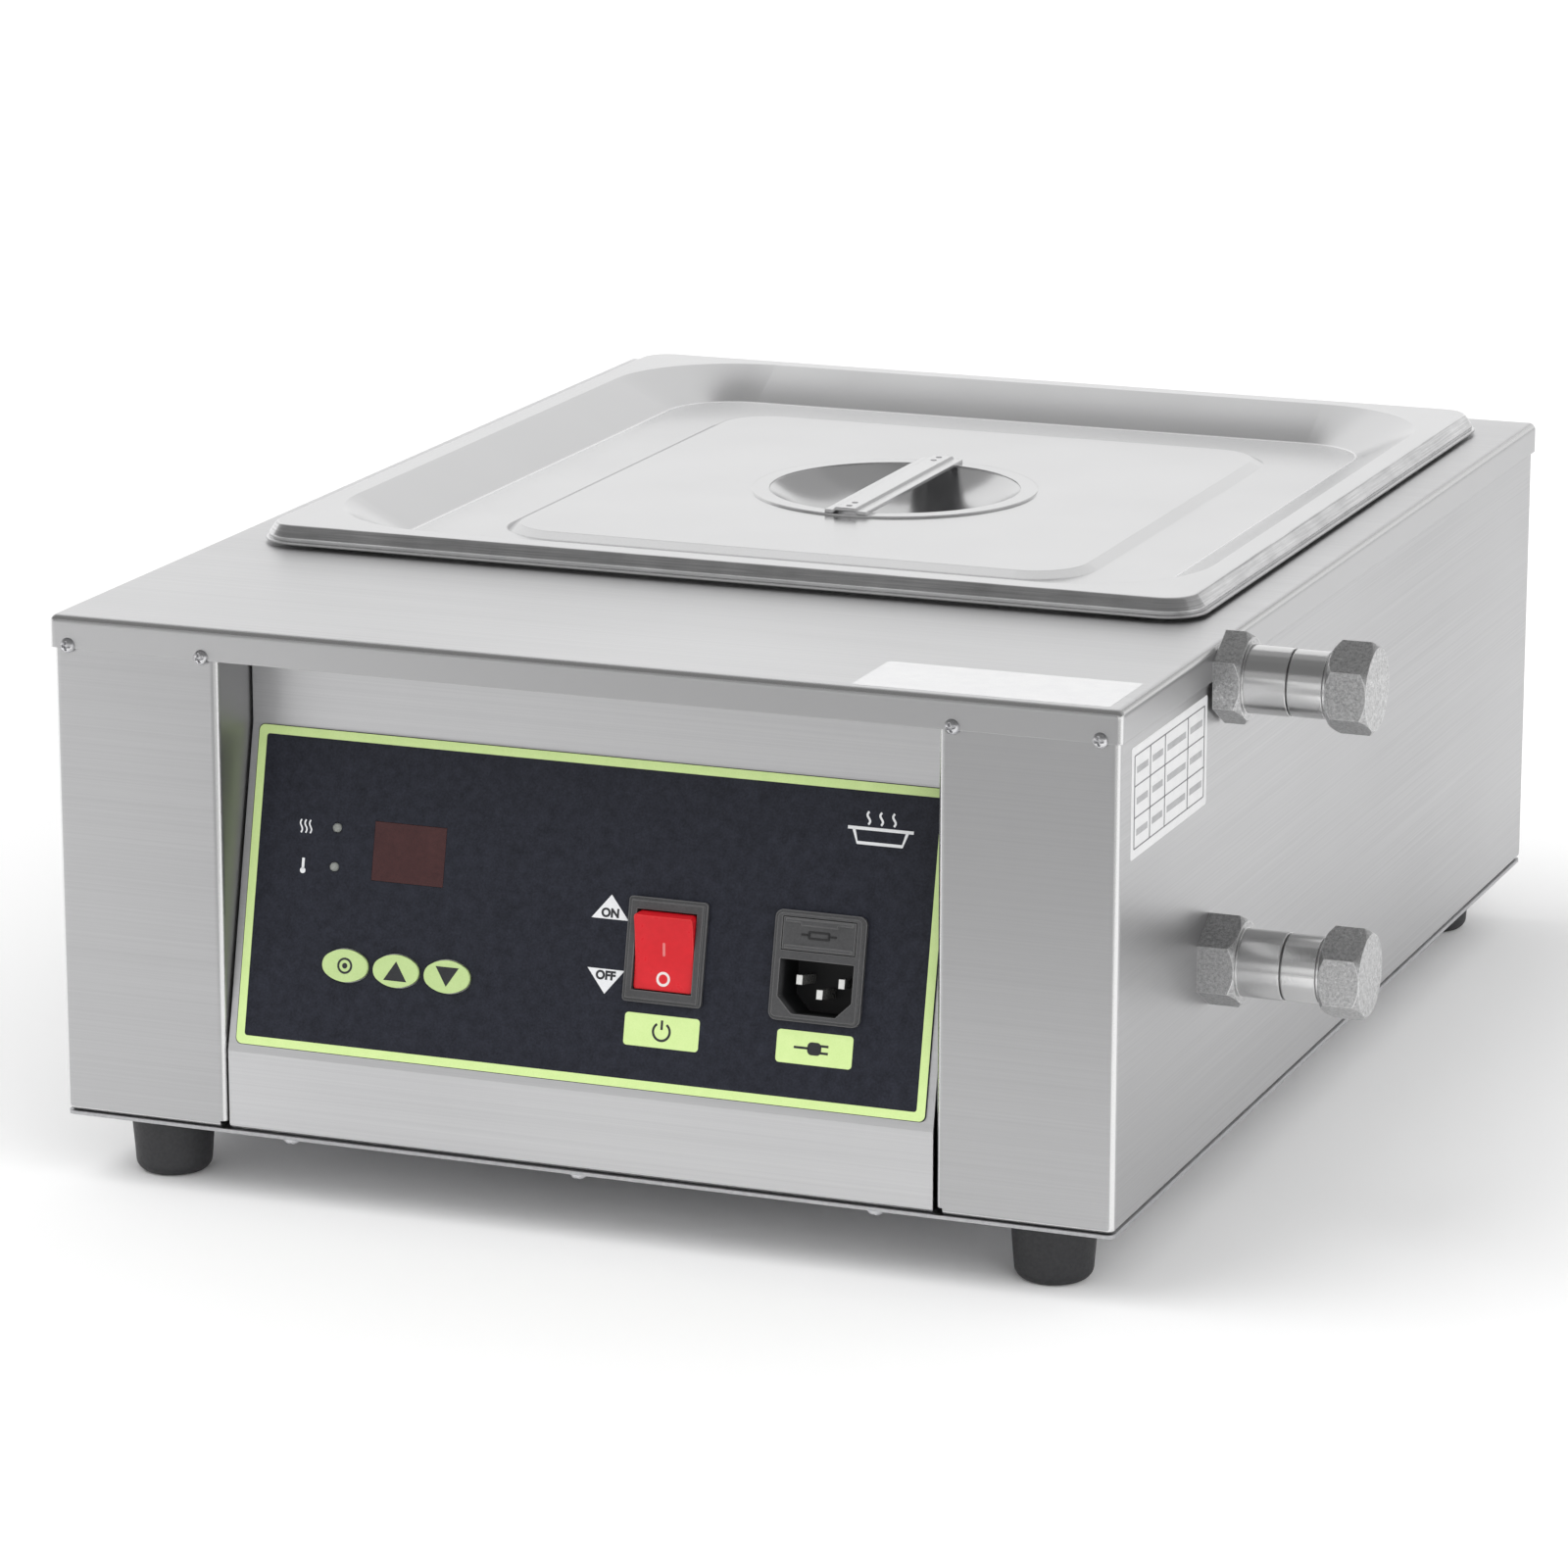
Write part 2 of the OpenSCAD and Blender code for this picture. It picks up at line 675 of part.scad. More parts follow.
// Base screw places
module at_base_screws() {
  for (x = [-1, 0, 1], side = [-1, 1])
    translate([x * base_screw_pitch, side * (casing_d / 2 - base_screw_in), foot_h]) children();
  for (y = [-1, 1], side = [-1, 1])
    translate([side * (casing_w / 2 - base_screw_in), y * base_screw_side, foot_h]) children();
}

// Foot places
module at_feet() {
  for (x = [-1, 1], y = [-1, 1])
    translate([x * (body_w / 2 - foot_inset_x), y * (body_d / 2 - foot_inset_y), 0]) children();
}

// Board fixing places on the sloping face
module at_board_fixings() {
  for (x = [-1, 1], y = [-1, 1])
    on_panel(board_x + x * (board_w / 2 - board_hole_in), board_s + y * (board_h / 2 - board_hole_in))
      children();
}

// Key places on the sloping face
module at_keys() {
  for (i = [0 : 2]) on_panel(key_x + i * key_pitch, key_s) children();
}

// Lamp places on the sloping face
module at_lamps() {
  for (i = [0, 1]) on_panel(lamp_x, lamp_s + i * lamp_pitch) children();
}

// Gland places on the tank's front wall, with the diameter of the tube each holds
module at_heater_glands() {
  for (x = [-1, 1]) on_tank(x * heater_span / 2, heater_z) children();
}

module at_glands() {
  at_heater_glands() children();
  on_tank(probe_x, heater_z) children();
}

// One sheet folded round the sides and back, in along the front and back into the recess
module casing_wrap() {
  color(steel) difference() {
    union() {
      translate([0, 0, casing_z + bend_r]) linear_extrude(height = casing_top - casing_z - bend_r)
        casing_plan();
      translate([0, 0, casing_z]) difference() {
        casing_foot();
        translate([0, front_y, 0])
          cube([window_w + 2 * bend_r, 3 * casing_flange, 4 * bend_r], center = true);
      }
    }
    at_lip_screws() cylinder(d = lip_shank_d + 2 * screw_gap, h = 8 * sheet, center = true);
    at_base_screws() cylinder(d = base_shank_d + 2 * screw_gap, h = 8 * sheet, center = true);
    along_x(drain_seat, drain_y, drain_z)
      cylinder(d = pipe_d + 2 * pipe_gap, h = 8 * sheet, center = true);
    along_x(drain_seat, overflow_y, overflow_z)
      cylinder(d = pipe_d + 2 * pipe_gap, h = 8 * sheet, center = true);
  }
}

module casing_plan() {
  difference() {
    rring(casing_w, casing_d, bend_r, casing_w - 2 * sheet, casing_d - 2 * sheet, bend_r - sheet);
    translate([0, front_y]) square([window_w + 2 * bend_r, 4 * bend_r], center = true);
  }
  for (side = [0, 1]) mirror([side, 0]) {
    translate([window_w / 2 + bend_r, front_y + bend_r]) arc_strip(bend_r - sheet, bend_r, 180, 270);
    translate([window_w / 2, front_y + bend_r]) square([sheet, post_return - bend_r]);
  }
}

// Bend and flange round the bottom of the casing
module casing_foot() {
  rim_sweep(casing_w, casing_d, bend_r)
    translate([-bend_r, bend_r]) arc_strip(bend_r - sheet, bend_r, 270, 360);
  linear_extrude(height = sheet) difference() {
    square([casing_w - 2 * bend_r, casing_d - 2 * bend_r], center = true);
    rrect(casing_w - 2 * casing_flange, casing_d - 2 * casing_flange, bend_r);
  }
}

// Top plate with its folded lip and the collar round the opening
module top_plate() {
  color(steel) difference() {
    union() {
      translate([0, 0, top_under]) linear_extrude(height = sheet) difference() {
        square([body_w - 2 * bend_r, body_d - 2 * bend_r], center = true);
        translate([0, pan_y]) rrect(opening_w, opening_l, opening_r);
      }
      translate([0, 0, top_z]) rim_sweep(body_w, body_d, bend_r) {
        union() {
          translate([-bend_r, -bend_r]) arc_strip(bend_r - sheet, bend_r, 0, 90);
          translate([-sheet, -lip_h]) square([sheet, lip_h - bend_r]);
        }
      }
      translate([0, pan_y, top_under]) linear_extrude(height = pan_seat - top_under)
        rring(opening_w + 2 * sheet, opening_l + 2 * sheet, opening_r + sheet,
          opening_w, opening_l, opening_r);
    }
    at_lip_screws() lip_slot(lip_shank_d + 2 * screw_gap);
    translate([body_w / 2, overflow_y, overflow_z]) rotate([90, 0, 90]) lip_slot(pipe_d + 2 * pipe_gap);
  }
}

// Slot open at the lip's lower edge
module lip_slot(d) {
  cylinder(d = d, h = 4 * sheet, center = true);
  translate([0, -lip_h / 2, 0]) cube([d, lip_h, 4 * sheet], center = true);
}

// Base plate under the casing's flange, with cooling slots under the control space
module base_plate() {
  plate_w = casing_w - 2 * base_set;
  plate_d = casing_d - 2 * base_set;
  vent_y = front_y + post_return + vent_l;
  color(dull_steel) difference() {
    translate([0, 0, foot_h]) linear_extrude(height = base_t) difference() {
      rrect(plate_w, plate_d, bend_r);
      for (i = [0 : vent_count - 1])
        translate([(i - (vent_count - 1) / 2) * vent_pitch, vent_y])
          rrect(vent_w, vent_l, vent_w / 2 - 0.01);
    }
    at_base_screws() cylinder(d = base_shank_d + 2 * screw_gap, h = 4 * base_t, center = true);
    at_feet() translate([0, 0, foot_h])
      cylinder(d = foot_bolt_d + 2 * screw_gap, h = 4 * base_t, center = true);
  }
}

// Tapered rubber feet with a recess for the bolt head
module rubber_feet() {
  head_room = foot_bolt_d + 1;
  color(rubber_grey) at_feet() rotate_extrude() difference() {
    union() {
      polygon([[0, foot_edge_r], [foot_d / 2, foot_edge_r], [foot_top_d / 2, foot_h], [0, foot_h]]);
      square([foot_d / 2 - foot_edge_r, foot_edge_r]);
      intersection() {
        translate([foot_d / 2 - foot_edge_r, foot_edge_r]) circle(foot_edge_r);
        square([foot_d, foot_edge_r]);
      }
    }
    square([head_room, foot_h - foot_web]);
    square([foot_bolt_d / 2 + screw_gap, foot_h + cut]);
  }
}

module foot_bolts() {
  color(dull_steel) at_feet() translate([0, 0, foot_h - foot_web]) rotate([180, 0, 0])
    pan_screw(2 * foot_bolt_d, foot_bolt_d * 0.6, foot_bolt_d, foot_web + base_t + foot_bolt_d + 2);
}

module foot_nuts() {
  color(dull_steel) at_feet() translate([0, 0, casing_z])
    hex_nut(foot_bolt_d * 1.6, foot_bolt_d, foot_bolt_d * 0.8);
}

// Plain hexagon nut
module hex_nut(af, bore, thick) {
  difference() {
    cylinder(d = af / cos(30), h = thick, $fn = 6);
    translate([0, 0, -cut]) cylinder(d = bore + 2 * screw_gap, h = thick + 2 * cut);
  }
}

module lip_screws() {
  color(dull_steel) at_lip_screws() pan_screw(lip_head_d, lip_head_h, lip_shank_d, lip_grip);
}

module base_screws() {
  color(dull_steel) at_base_screws() rotate([180, 0, 0])
    pan_screw(base_head_d, base_head_h, base_shank_d, base_t + sheet + screw_point);
}

// Folded panel: top flange, upright strip, slope, apron and bottom flange
module control_panel() {
  miter = sheet * tan(panel_tilt / 2);
  bend_z = casing_z + bend_r;
  color(steel) difference() {
    rotate([90, 0, 90]) linear_extrude(height = panel_w, center = true) {
      polygon([[strip_y + panel_flange, top_under], [strip_y, top_under], [strip_y, slope_top_z],
        [apron_y, slope_foot_z], [apron_y, bend_z], [apron_y + sheet, bend_z],
        [apron_y + sheet, slope_foot_z - miter], [strip_y + sheet, slope_top_z - miter],
        [strip_y + sheet, top_under - sheet], [strip_y + panel_flange, top_under - sheet]]);
      translate([apron_y + bend_r, bend_z]) arc_strip(bend_r - sheet, bend_r, 180, 270);
      translate([apron_y + bend_r, casing_z]) square([panel_flange - bend_r, sheet]);
    }
    panel_cuts(4 * sheet);
    at_keys() cylinder(d = key_stem_d + 2 * key_gap, h = 4 * sheet, center = true);
    at_base_screws() cylinder(d = base_shank_d + 2 * screw_gap, h = 8 * sheet, center = true);
  }
}

// Cut-outs that the panel and the overlay share
module panel_cuts(depth) {
  on_panel(display_x, display_s) cube([display_w, display_h, depth], center = true);
  at_lamps() cylinder(d = lamp_d + 2 * screw_gap, h = depth, center = true);
  on_panel(switch_x, switch_s)
    cube([switch_body_w + 2 * switch_cut, switch_body_h + 2 * switch_cut, depth], center = true);
  on_panel(inlet_x, inlet_s)
    cube([inlet_body_w + 2 * switch_cut, inlet_body_h + 2 * switch_cut, depth], center = true);
}

module panel_overlay() {
  color([0.17, 0.18, 0.21]) difference() {
    on_panel(0, overlay_top + overlay_h / 2)
      linear_extrude(height = overlay_t) rrect(overlay_w, overlay_h, overlay_r);
    panel_cuts(4 * sheet);
    at_keys() linear_extrude(height = 4 * sheet, center = true)
      oval(key_w + 2 * key_gap, key_h + 2 * key_gap, key_end_r + key_gap);
  }
}

// Red window, flush with the overlay, with a flange behind the panel
module display_window() {
  flange = 2;
  color([0.35, 0.08, 0.08]) on_panel(display_x, display_s) {
    translate([0, 0, -sheet]) linear_extrude(height = sheet + overlay_t)
      square([display_w - 2 * switch_cut, display_h - 2 * switch_cut], center = true);
    translate([0, 0, -2 * sheet]) linear_extrude(height = sheet)
      square([display_w + 2 * flange, display_h + 2 * flange], center = true);
  }
}

// Lamps with domed fronts, each on a spacer that stands on the board
module indicator_lamps() {
  spacer_top = 5;
  color([0.75, 0.78, 0.72]) at_lamps() {
    translate([0, 0, overlay_t]) rotate_extrude() intersection() {
      circle(lamp_d / 2);
      square(lamp_d);
    }
    translate([0, 0, -spacer_top]) cylinder(d = lamp_d, h = spacer_top + overlay_t);
    translate([0, 0, -board_gap]) cylinder(d = lamp_d + 1, h = board_gap - spacer_top);
  }
}

// Oval key on a stem that reaches back to its switch, held in by a collar behind the panel
module key_cap() {
  translate([0, 0, key_lift]) linear_extrude(height = key_t) oval(key_w, key_h, key_end_r);
  translate([0, 0, key_back]) cylinder(d = key_stem_d, h = key_lift - key_back + key_t / 2);
  translate([0, 0, -sheet - key_collar_t]) cylinder(d = key_stem_d + 2 * key_collar, h = key_collar_t);
}

module set_key() {
  color([0.74, 0.87, 0.45]) on_panel(key_x, key_s) key_cap();
}

module up_key() {
  color([0.74, 0.87, 0.45]) on_panel(key_x + key_pitch, key_s) key_cap();
}

module down_key() {
  color([0.74, 0.87, 0.45]) on_panel(key_x + 2 * key_pitch, key_s) key_cap();
}

// Switch body with its bezel, and the cavity in which the rocker turns
module switch_housing() {
  color(black_plastic) on_panel(switch_x, switch_s) difference() {
    union() {
      translate([0, 0, overlay_t]) linear_extrude(height = bezel_t) rrect(bezel_w, bezel_h, bezel_step);
      translate([0, 0, overlay_t]) linear_extrude(height = bezel_t + bezel_rise)
        square([bezel_w - 2 * bezel_step, bezel_h - 2 * bezel_step], center = true);
      translate([0, 0, -switch_body_d]) linear_extrude(height = switch_body_d + overlay_t + cut)
        square([switch_body_w, switch_body_h], center = true);
    }
    translate([0, 0, -cavity_floor]) linear_extrude(height = wide)
      square([cavity_w, cavity_h], center = true);
    translate([0, 0, pivot_out]) rotate([0, 90, 0])
      cylinder(d = rocker_pin_d + 2 * rocker_fit, h = pin_hole_l, center = true);
  }
}

module switch_terminals() {
  blade = [4.8, 0.8, 9];
  color(brass) on_panel(switch_x, switch_s) for (x = [-1, 1], y = [-1, 1])
    translate([x * switch_body_w / 4, y * switch_body_h / 4, -switch_body_d - blade[2] / 2])
      cube(blade, center = true);
}

// Rocker with a hollow face, round ends about its pivot and two pivot pins, its lower end pressed
module rocker() {
  dish_r = (rocker_r * rocker_r + rocker_dish * rocker_dish) / (2 * rocker_dish);
  belly = 2;
  color([0.83, 0.12, 0.13]) on_panel(switch_x, switch_s, pivot_out) rotate([rocker_tilt, 0, 0]) {
    intersection() {
      rotate([90, 0, 90]) linear_extrude(height = rocker_w, center = true) difference() {
        intersection() {
          circle(rocker_r);
          translate([-rocker_r, -belly]) square([2 * rocker_r, rocker_mid + rocker_dish + belly]);
        }
        translate([0, rocker_mid + dish_r]) circle(dish_r, $fn = 180);
      }
      linear_extrude(height = 2 * rocker_r, center = true) rrect(rocker_w, 2 * rocker_r, rocker_corner);
    }
    rotate([0, 90, 0]) cylinder(d = rocker_pin_d, h = rocker_w + 2 * rocker_pin_l, center = true);
  }
}

// Inlet body with its bezel, the plug socket and the slot of the fuse drawer
module inlet_housing() {
  color(black_plastic) on_panel(inlet_x, inlet_s) difference() {
    union() {
      translate([0, 0, overlay_t]) linear_extrude(height = inlet_t) rrect(inlet_w, inlet_h, inlet_r);
      translate([0, 0, overlay_t]) linear_extrude(height = inlet_t + inlet_rise)
        rrect(inlet_w - 2 * inlet_step, inlet_h - 2 * inlet_step, inlet_r - inlet_step);
      translate([0, 0, -inlet_d]) linear_extrude(height = inlet_d + overlay_t + cut)
        square([inlet_body_w, inlet_body_h], center = true);
    }
    translate([0, -socket_s, inlet_front - socket_d]) linear_extrude(height = wide) socket_outline();
    translate([0, -drawer_s, inlet_front - drawer_t - drawer_d - drawer_gap]) linear_extrude(height = wide)
      square([drawer_body_w + 2 * drawer_gap, drawer_body_h + 2 * drawer_gap], center = true);
    translate([0, -drawer_s, inlet_front - drawer_t]) linear_extrude(height = wide)
      square([drawer_w + 2 * drawer_gap, drawer_h + 2 * drawer_gap], center = true);
  }
}

module socket_outline() {
  x = socket_w / 2;
  y = socket_h / 2;
  polygon([[-x, y], [x, y], [x, socket_chamfer - y], [x - socket_chamfer, -y],
    [socket_chamfer - x, -y], [-x, socket_chamfer - y]]);
}

// Three flat pins that stand on the socket's floor, the earth pin lower
module inlet_pins() {
  color([0.8, 0.8, 0.78]) on_panel(inlet_x, inlet_s, inlet_front - socket_d) for (x = [-1, 0, 1])
    translate([x * pin_x, -socket_s + (x == 0 ? -earth_drop / 2 : earth_drop / 2), pin_l / 2])
      cube([pin_w, pin_h, pin_l], center = true);
}

// Fuse drawer: ribbed front with a finger lip, and a tray behind it that holds the fuse
module fuse_drawer() {
  pocket = fuse_d + 2 * drawer_gap;
  rib_y = drawer_h / 2 - drawer_rib;
  color(black_plastic) on_panel(inlet_x, inlet_s + drawer_s, inlet_front - drawer_t) difference() {
    union() {
      linear_extrude(height = drawer_t) square([drawer_w, drawer_h], center = true);
      translate([0, 0, drawer_t]) linear_extrude(height = drawer_rib_h) {
        for (y = [-1, 1]) translate([0, y * rib_y])
          square([drawer_w - 2 * drawer_rib, drawer_rib], center = true);
        translate([0, rib_y - drawer_rib]) square([drawer_w / 2, drawer_rib], center = true);
      }
      translate([0, 0, -drawer_d]) linear_extrude(height = drawer_d)
        square([drawer_body_w, drawer_body_h], center = true);
    }
    translate([0, drawer_body_h / 2, -drawer_d / 2])
      cube([fuse_l + 2 * drawer_gap, 2 * (drawer_body_h / 2 + fuse_d / 2), pocket], center = true);
  }
}

module fuse() {
  color([0.8, 0.85, 0.85]) on_panel(inlet_x, inlet_s + drawer_s, inlet_front - drawer_t - drawer_d / 2)
    rotate([0, 90, 0]) cylinder(d = fuse_d, h = fuse_l, center = true);
}

module board_standoffs() {
  color(brass) at_board_fixings() difference() {
    translate([0, 0, -board_gap]) cylinder(d = standoff_d, h = board_gap - sheet);
    translate([0, 0, -board_gap - cut]) cylinder(d = board_screw_d + 2 * screw_gap, h = board_gap / 2);
  }
}

module control_board() {
  color([0.1, 0.4, 0.2]) difference() {
    on_panel(board_x, board_s, -board_back) linear_extrude(height = board_t) rrect(board_w, board_h, 2);
    at_board_fixings() translate([0, 0, -board_back])
      cylinder(d = board_screw_d + 2 * screw_gap, h = 4 * board_t, center = true);
  }
}

module board_screws() {
  color(dull_steel) at_board_fixings() translate([0, 0, -board_back]) rotate([180, 0, 0])
    pan_screw(2 * board_screw_d, 2, board_screw_d, board_t + board_gap / 3);
}

module display_module() {
  depth = 7;
  side_in = 1.5;
  end_in = 2.5;
  color([0.12, 0.1, 0.1]) on_panel(display_x, display_s, -board_gap) linear_extrude(height = depth)
    square([display_w - 2 * side_in, display_h - 2 * end_in], center = true);
}

// Key switches on the board, each plunger just past the travel of its key
module key_switches() {
  body = 6;
  case_h = 3;
  plunger_d = 3.4;
  plunger_h = board_gap + key_back - key_travel - key_gap;
  color([0.2, 0.2, 0.2]) at_keys() translate([0, 0, -board_gap]) {
    linear_extrude(height = case_h) square([body, body], center = true);
    cylinder(d = plunger_d, h = plunger_h);
  }
}

module relay() {
  color([0.15, 0.35, 0.7]) on_panel(board_x + board_w / 4, board_s - board_h / 4, -board_back - relay_d)
    linear_extrude(height = relay_d) rrect(relay_w, relay_h, 1);
}

// Small transformer: a laminated core with its winding round the middle limb
module transformer() {
  color([0.35, 0.35, 0.36]) on_panel(board_x - board_w / 4, board_s - board_h / 5, -board_back) {
    translate([0, 0, -winding_d]) linear_extrude(height = winding_d)
      rrect(winding_w, core_h - 2, winding_w / 5);
    translate([0, 0, -winding_d / 2]) cube([core_w, core_h, core_t], center = true);
  }
}

// Row of screw terminals along the board's lower edge
module terminal_block() {
  ways = 8;
  color([0.2, 0.55, 0.3]) on_panel(board_x, board_s + board_h / 2 - terminal_up, -board_back) difference() {
    translate([0, 0, -terminal_d]) linear_extrude(height = terminal_d)
      square([ways * terminal_way, terminal_h], center = true);
    for (i = [0 : ways - 1]) translate([(i - (ways - 1) / 2) * terminal_way, 0, -terminal_d])
      cylinder(d = terminal_way / 2, h = terminal_d / 2, center = true);
  }
}

// Welded tank hung by its flange under the top plate
module water_tank() {
  color(dull_steel) difference() {
    translate([0, pan_y, 0]) {
      translate([0, 0, tank_floor - sheet]) linear_extrude(height = top_under - tank_floor + sheet)
        rring(tank_w + 2 * sheet, tank_l + 2 * sheet, tank_r + sheet, tank_w, tank_l, tank_r);
      translate([0, 0, tank_floor - sheet]) linear_extrude(height = sheet)
        rrect(tank_w + 2 * sheet, tank_l + 2 * sheet, tank_r + sheet);
      translate([0, 0, top_under - sheet]) linear_extrude(height = sheet)
        rring(tank_w + 2 * tank_flange, tank_l + 2 * tank_flange, tank_r + tank_flange,
          tank_w, tank_l, tank_r);
    }
    at_glands() cylinder(d = gland_d + 2 * screw_gap, h = 8 * sheet, center = true);
    on_tank(pipe_x, drain_z) cylinder(d = pipe_bore, h = 8 * sheet, center = true);
    on_tank(pipe_x, overflow_z) cylinder(d = pipe_bore, h = 8 * sheet, center = true);
  }
}

// Tubular heater bent into one long loop, with a terminal pin at each end
module heating_element() {
  leg = heater_l - heater_span / 2;
  color([0.45, 0.44, 0.42]) {
    at_heater_glands() {
      translate([0, 0, -leg]) cylinder(d = heater_d, h = leg + lead_l);
      translate([0, 0, lead_l]) cylinder(d = heater_d / 2, h = heater_d);
    }
    translate([0, tank_front + leg, heater_z]) rotate_extrude(angle = 180)
      translate([heater_span / 2, 0]) circle(d = heater_d);
  }
}

module temperature_probe() {
  color(steel) on_tank(probe_x, heater_z) {
    translate([0, 0, -probe_l]) cylinder(d = probe_d, h = probe_l + lead_l);
    translate([0, 0, -probe_l]) sphere(d = probe_d);
  }
}

// Flanged bushes through the tank's wall
module wall_glands() {
  inner = sheet + gland_seal_t + gland_flange_t;
  color(brass) {
    at_heater_glands() gland(inner, heater_d);
    on_tank(probe_x, heater_z) gland(inner, probe_d);
  }
}

module gland(inner, tube_d) {
  difference() {
    union() {
      translate([0, 0, -inner]) cylinder(d = gland_flange_d, h = gland_flange_t);
      translate([0, 0, -inner]) cylinder(d = gland_d, h = inner + gland_l);
    }
    translate([0, 0, -inner - cut]) cylinder(d = tube_d + 2 * gland_fit, h = inner + gland_l + 2 * cut);
  }
}

module gland_seals() {
  color([0.75, 0.25, 0.2]) at_glands() translate([0, 0, -sheet - gland_seal_t]) difference() {
    cylinder(d = gland_flange_d, h = gland_seal_t);
    translate([0, 0, -cut]) cylinder(d = gland_d + 2 * screw_gap, h = gland_seal_t + 2 * cut);
  }
}

module gland_nuts() {
  color(brass) at_glands() difference() {
    cylinder(d = gland_nut_af / cos(30), h = gland_nut_t, $fn = 6);
    translate([0, 0, -cut]) cylinder(d = gland_d + 2 * gland_fit, h = gland_nut_t + 2 * cut);
  }
}

// Disc thermostat against the tank's wall, with two blades
module thermal_cutout() {
  cap_h = 3;
  case_h = 9;
  shoulder = 1.5;
  blade = [0.8, 6.3, 7];
  blade_x = 3.5;
  color([0.85, 0.83, 0.78]) on_tank(cutout_x, heater_z) {
    cylinder(d = cutout_d, h = cap_h);
    cylinder(d = cutout_d - 2 * shoulder, h = case_h);
    for (x = [-1, 1]) translate([x * blade_x, 0, case_h + blade[2] / 2]) cube(blade, center = true);
  }
}

// Pipe out of the tank's front wall, round an elbow and out through the casing's side
module elbow_pipe(y_out, z, seat) {
  difference() {
    elbow_run(y_out, z, seat + pipe_in, pipe_d, 0);
    elbow_run(y_out, z, seat + pipe_in, pipe_bore, cut);
  }
}

module elbow_run(y_out, z, x_end, d, extra) {
  x_turn = pipe_x + pipe_bend_r;
  y_turn = y_out - pipe_bend_r;
  translate([x_turn, tank_front - y_turn, z]) {
    translate([-pipe_bend_r, 0, 0]) rotate([-90, 0, 0]) cylinder(d = d, h = y_turn + extra);
    rotate([0, 0, 180]) rotate_extrude(angle = 90) translate([pipe_bend_r, 0]) circle(d = d);
    translate([0, -pipe_bend_r, 0]) rotate([0, 90, 0]) cylinder(d = d, h = x_end - x_turn + extra);
  }
}

// Hexagon prism with both ends chamfered or only the far one
module chamfered_hex(h, chamfer_near) {
  chamfer = (hex_d - hex_af) / 2;
  intersection() {
    cylinder(d = hex_d, h = h, $fn = 6);
    rotate_extrude() polygon([[0, 0], [chamfer_near ? hex_af / 2 : hex_d / 2, 0], [hex_d / 2, chamfer],
      [hex_d / 2, h - chamfer], [hex_af / 2, h], [0, h]]);
  }
}

// Hex union screwed on the pipe against the casing, with a thread for the cap
module pipe_union(hex_l) {
  barrel_end = hex_l + union_l;
  difference() {
    union() {
      chamfered_hex(hex_l, false);
      cylinder(d = union_d, h = barrel_end);
      cylinder(d = thread_d, h = barrel_end + thread_l);
    }
    translate([0, 0, -cut]) cylinder(d = pipe_d + 2 * gland_fit, h = pipe_in + cut);
    cylinder(d = pipe_bore, h = barrel_end + thread_l + cut);
  }
}

// Sealing washer between the thread's end and the cap's floor, from the thread's start
module cap_washer() {
  translate([0, 0, thread_l]) difference() {
    cylinder(d = thread_d - 2 * washer_gap, h = washer_t);
    translate([0, 0, -cut]) cylinder(d = pipe_bore, h = washer_t + 2 * cut);
  }
}

// Cap with a round skirt over the thread, a groove and a hexagon head, from the thread's start
module screw_cap() {
  difference() {
    union() {
      translate([0, 0, cap_gap]) cylinder(d = skirt_d, h = skirt_l - neck_l);
      translate([0, 0, cap_gap]) cylinder(d = skirt_d - 2 * neck_in, h = skirt_l);
      translate([0, 0, cap_gap + skirt_l]) chamfered_hex(cap_hex_l, true);
    }
    translate([0, 0, -cut]) cylinder(d = thread_d + 2 * thread_fit, h = cut + thread_l + washer_t);
  }
}

module drain_pipe() {
  color(dull_steel) elbow_pipe(drain_out, drain_z, drain_seat);
}

module drain_union() {
  color(steel) along_x(drain_seat, drain_y, drain_z) pipe_union(drain_hex_l);
}

module drain_washer() {
  color([0.9, 0.9, 0.88]) along_x(drain_thread, drain_y, drain_z) cap_washer();
}

module drain_cap() {
  color(steel) along_x(drain_thread, drain_y, drain_z) screw_cap();
}

module overflow_pipe() {
  color(dull_steel) elbow_pipe(overflow_out, overflow_z, overflow_seat);
}

module overflow_union() {
  color(steel) along_x(overflow_seat, overflow_y, overflow_z) pipe_union(overflow_hex_l);
}

module overflow_washer() {
  color([0.9, 0.9, 0.88]) along_x(overflow_thread, overflow_y, overflow_z) cap_washer();
}

module overflow_cap() {
  color(steel) along_x(overflow_thread, overflow_y, overflow_z) screw_cap();
}

// Earth stud welded to the base plate near the inlet
module at_earth() {
  translate([inlet_x + earth_side, front_y + 2 * post_return, casing_z]) children();
}

module earth_stud() {
  color(brass) at_earth() cylinder(d = earth_d, h = earth_l);
}

module earth_nut() {
  color(brass) at_earth() hex_nut(earth_d * 1.75, earth_d, earth_d * 0.8);
}

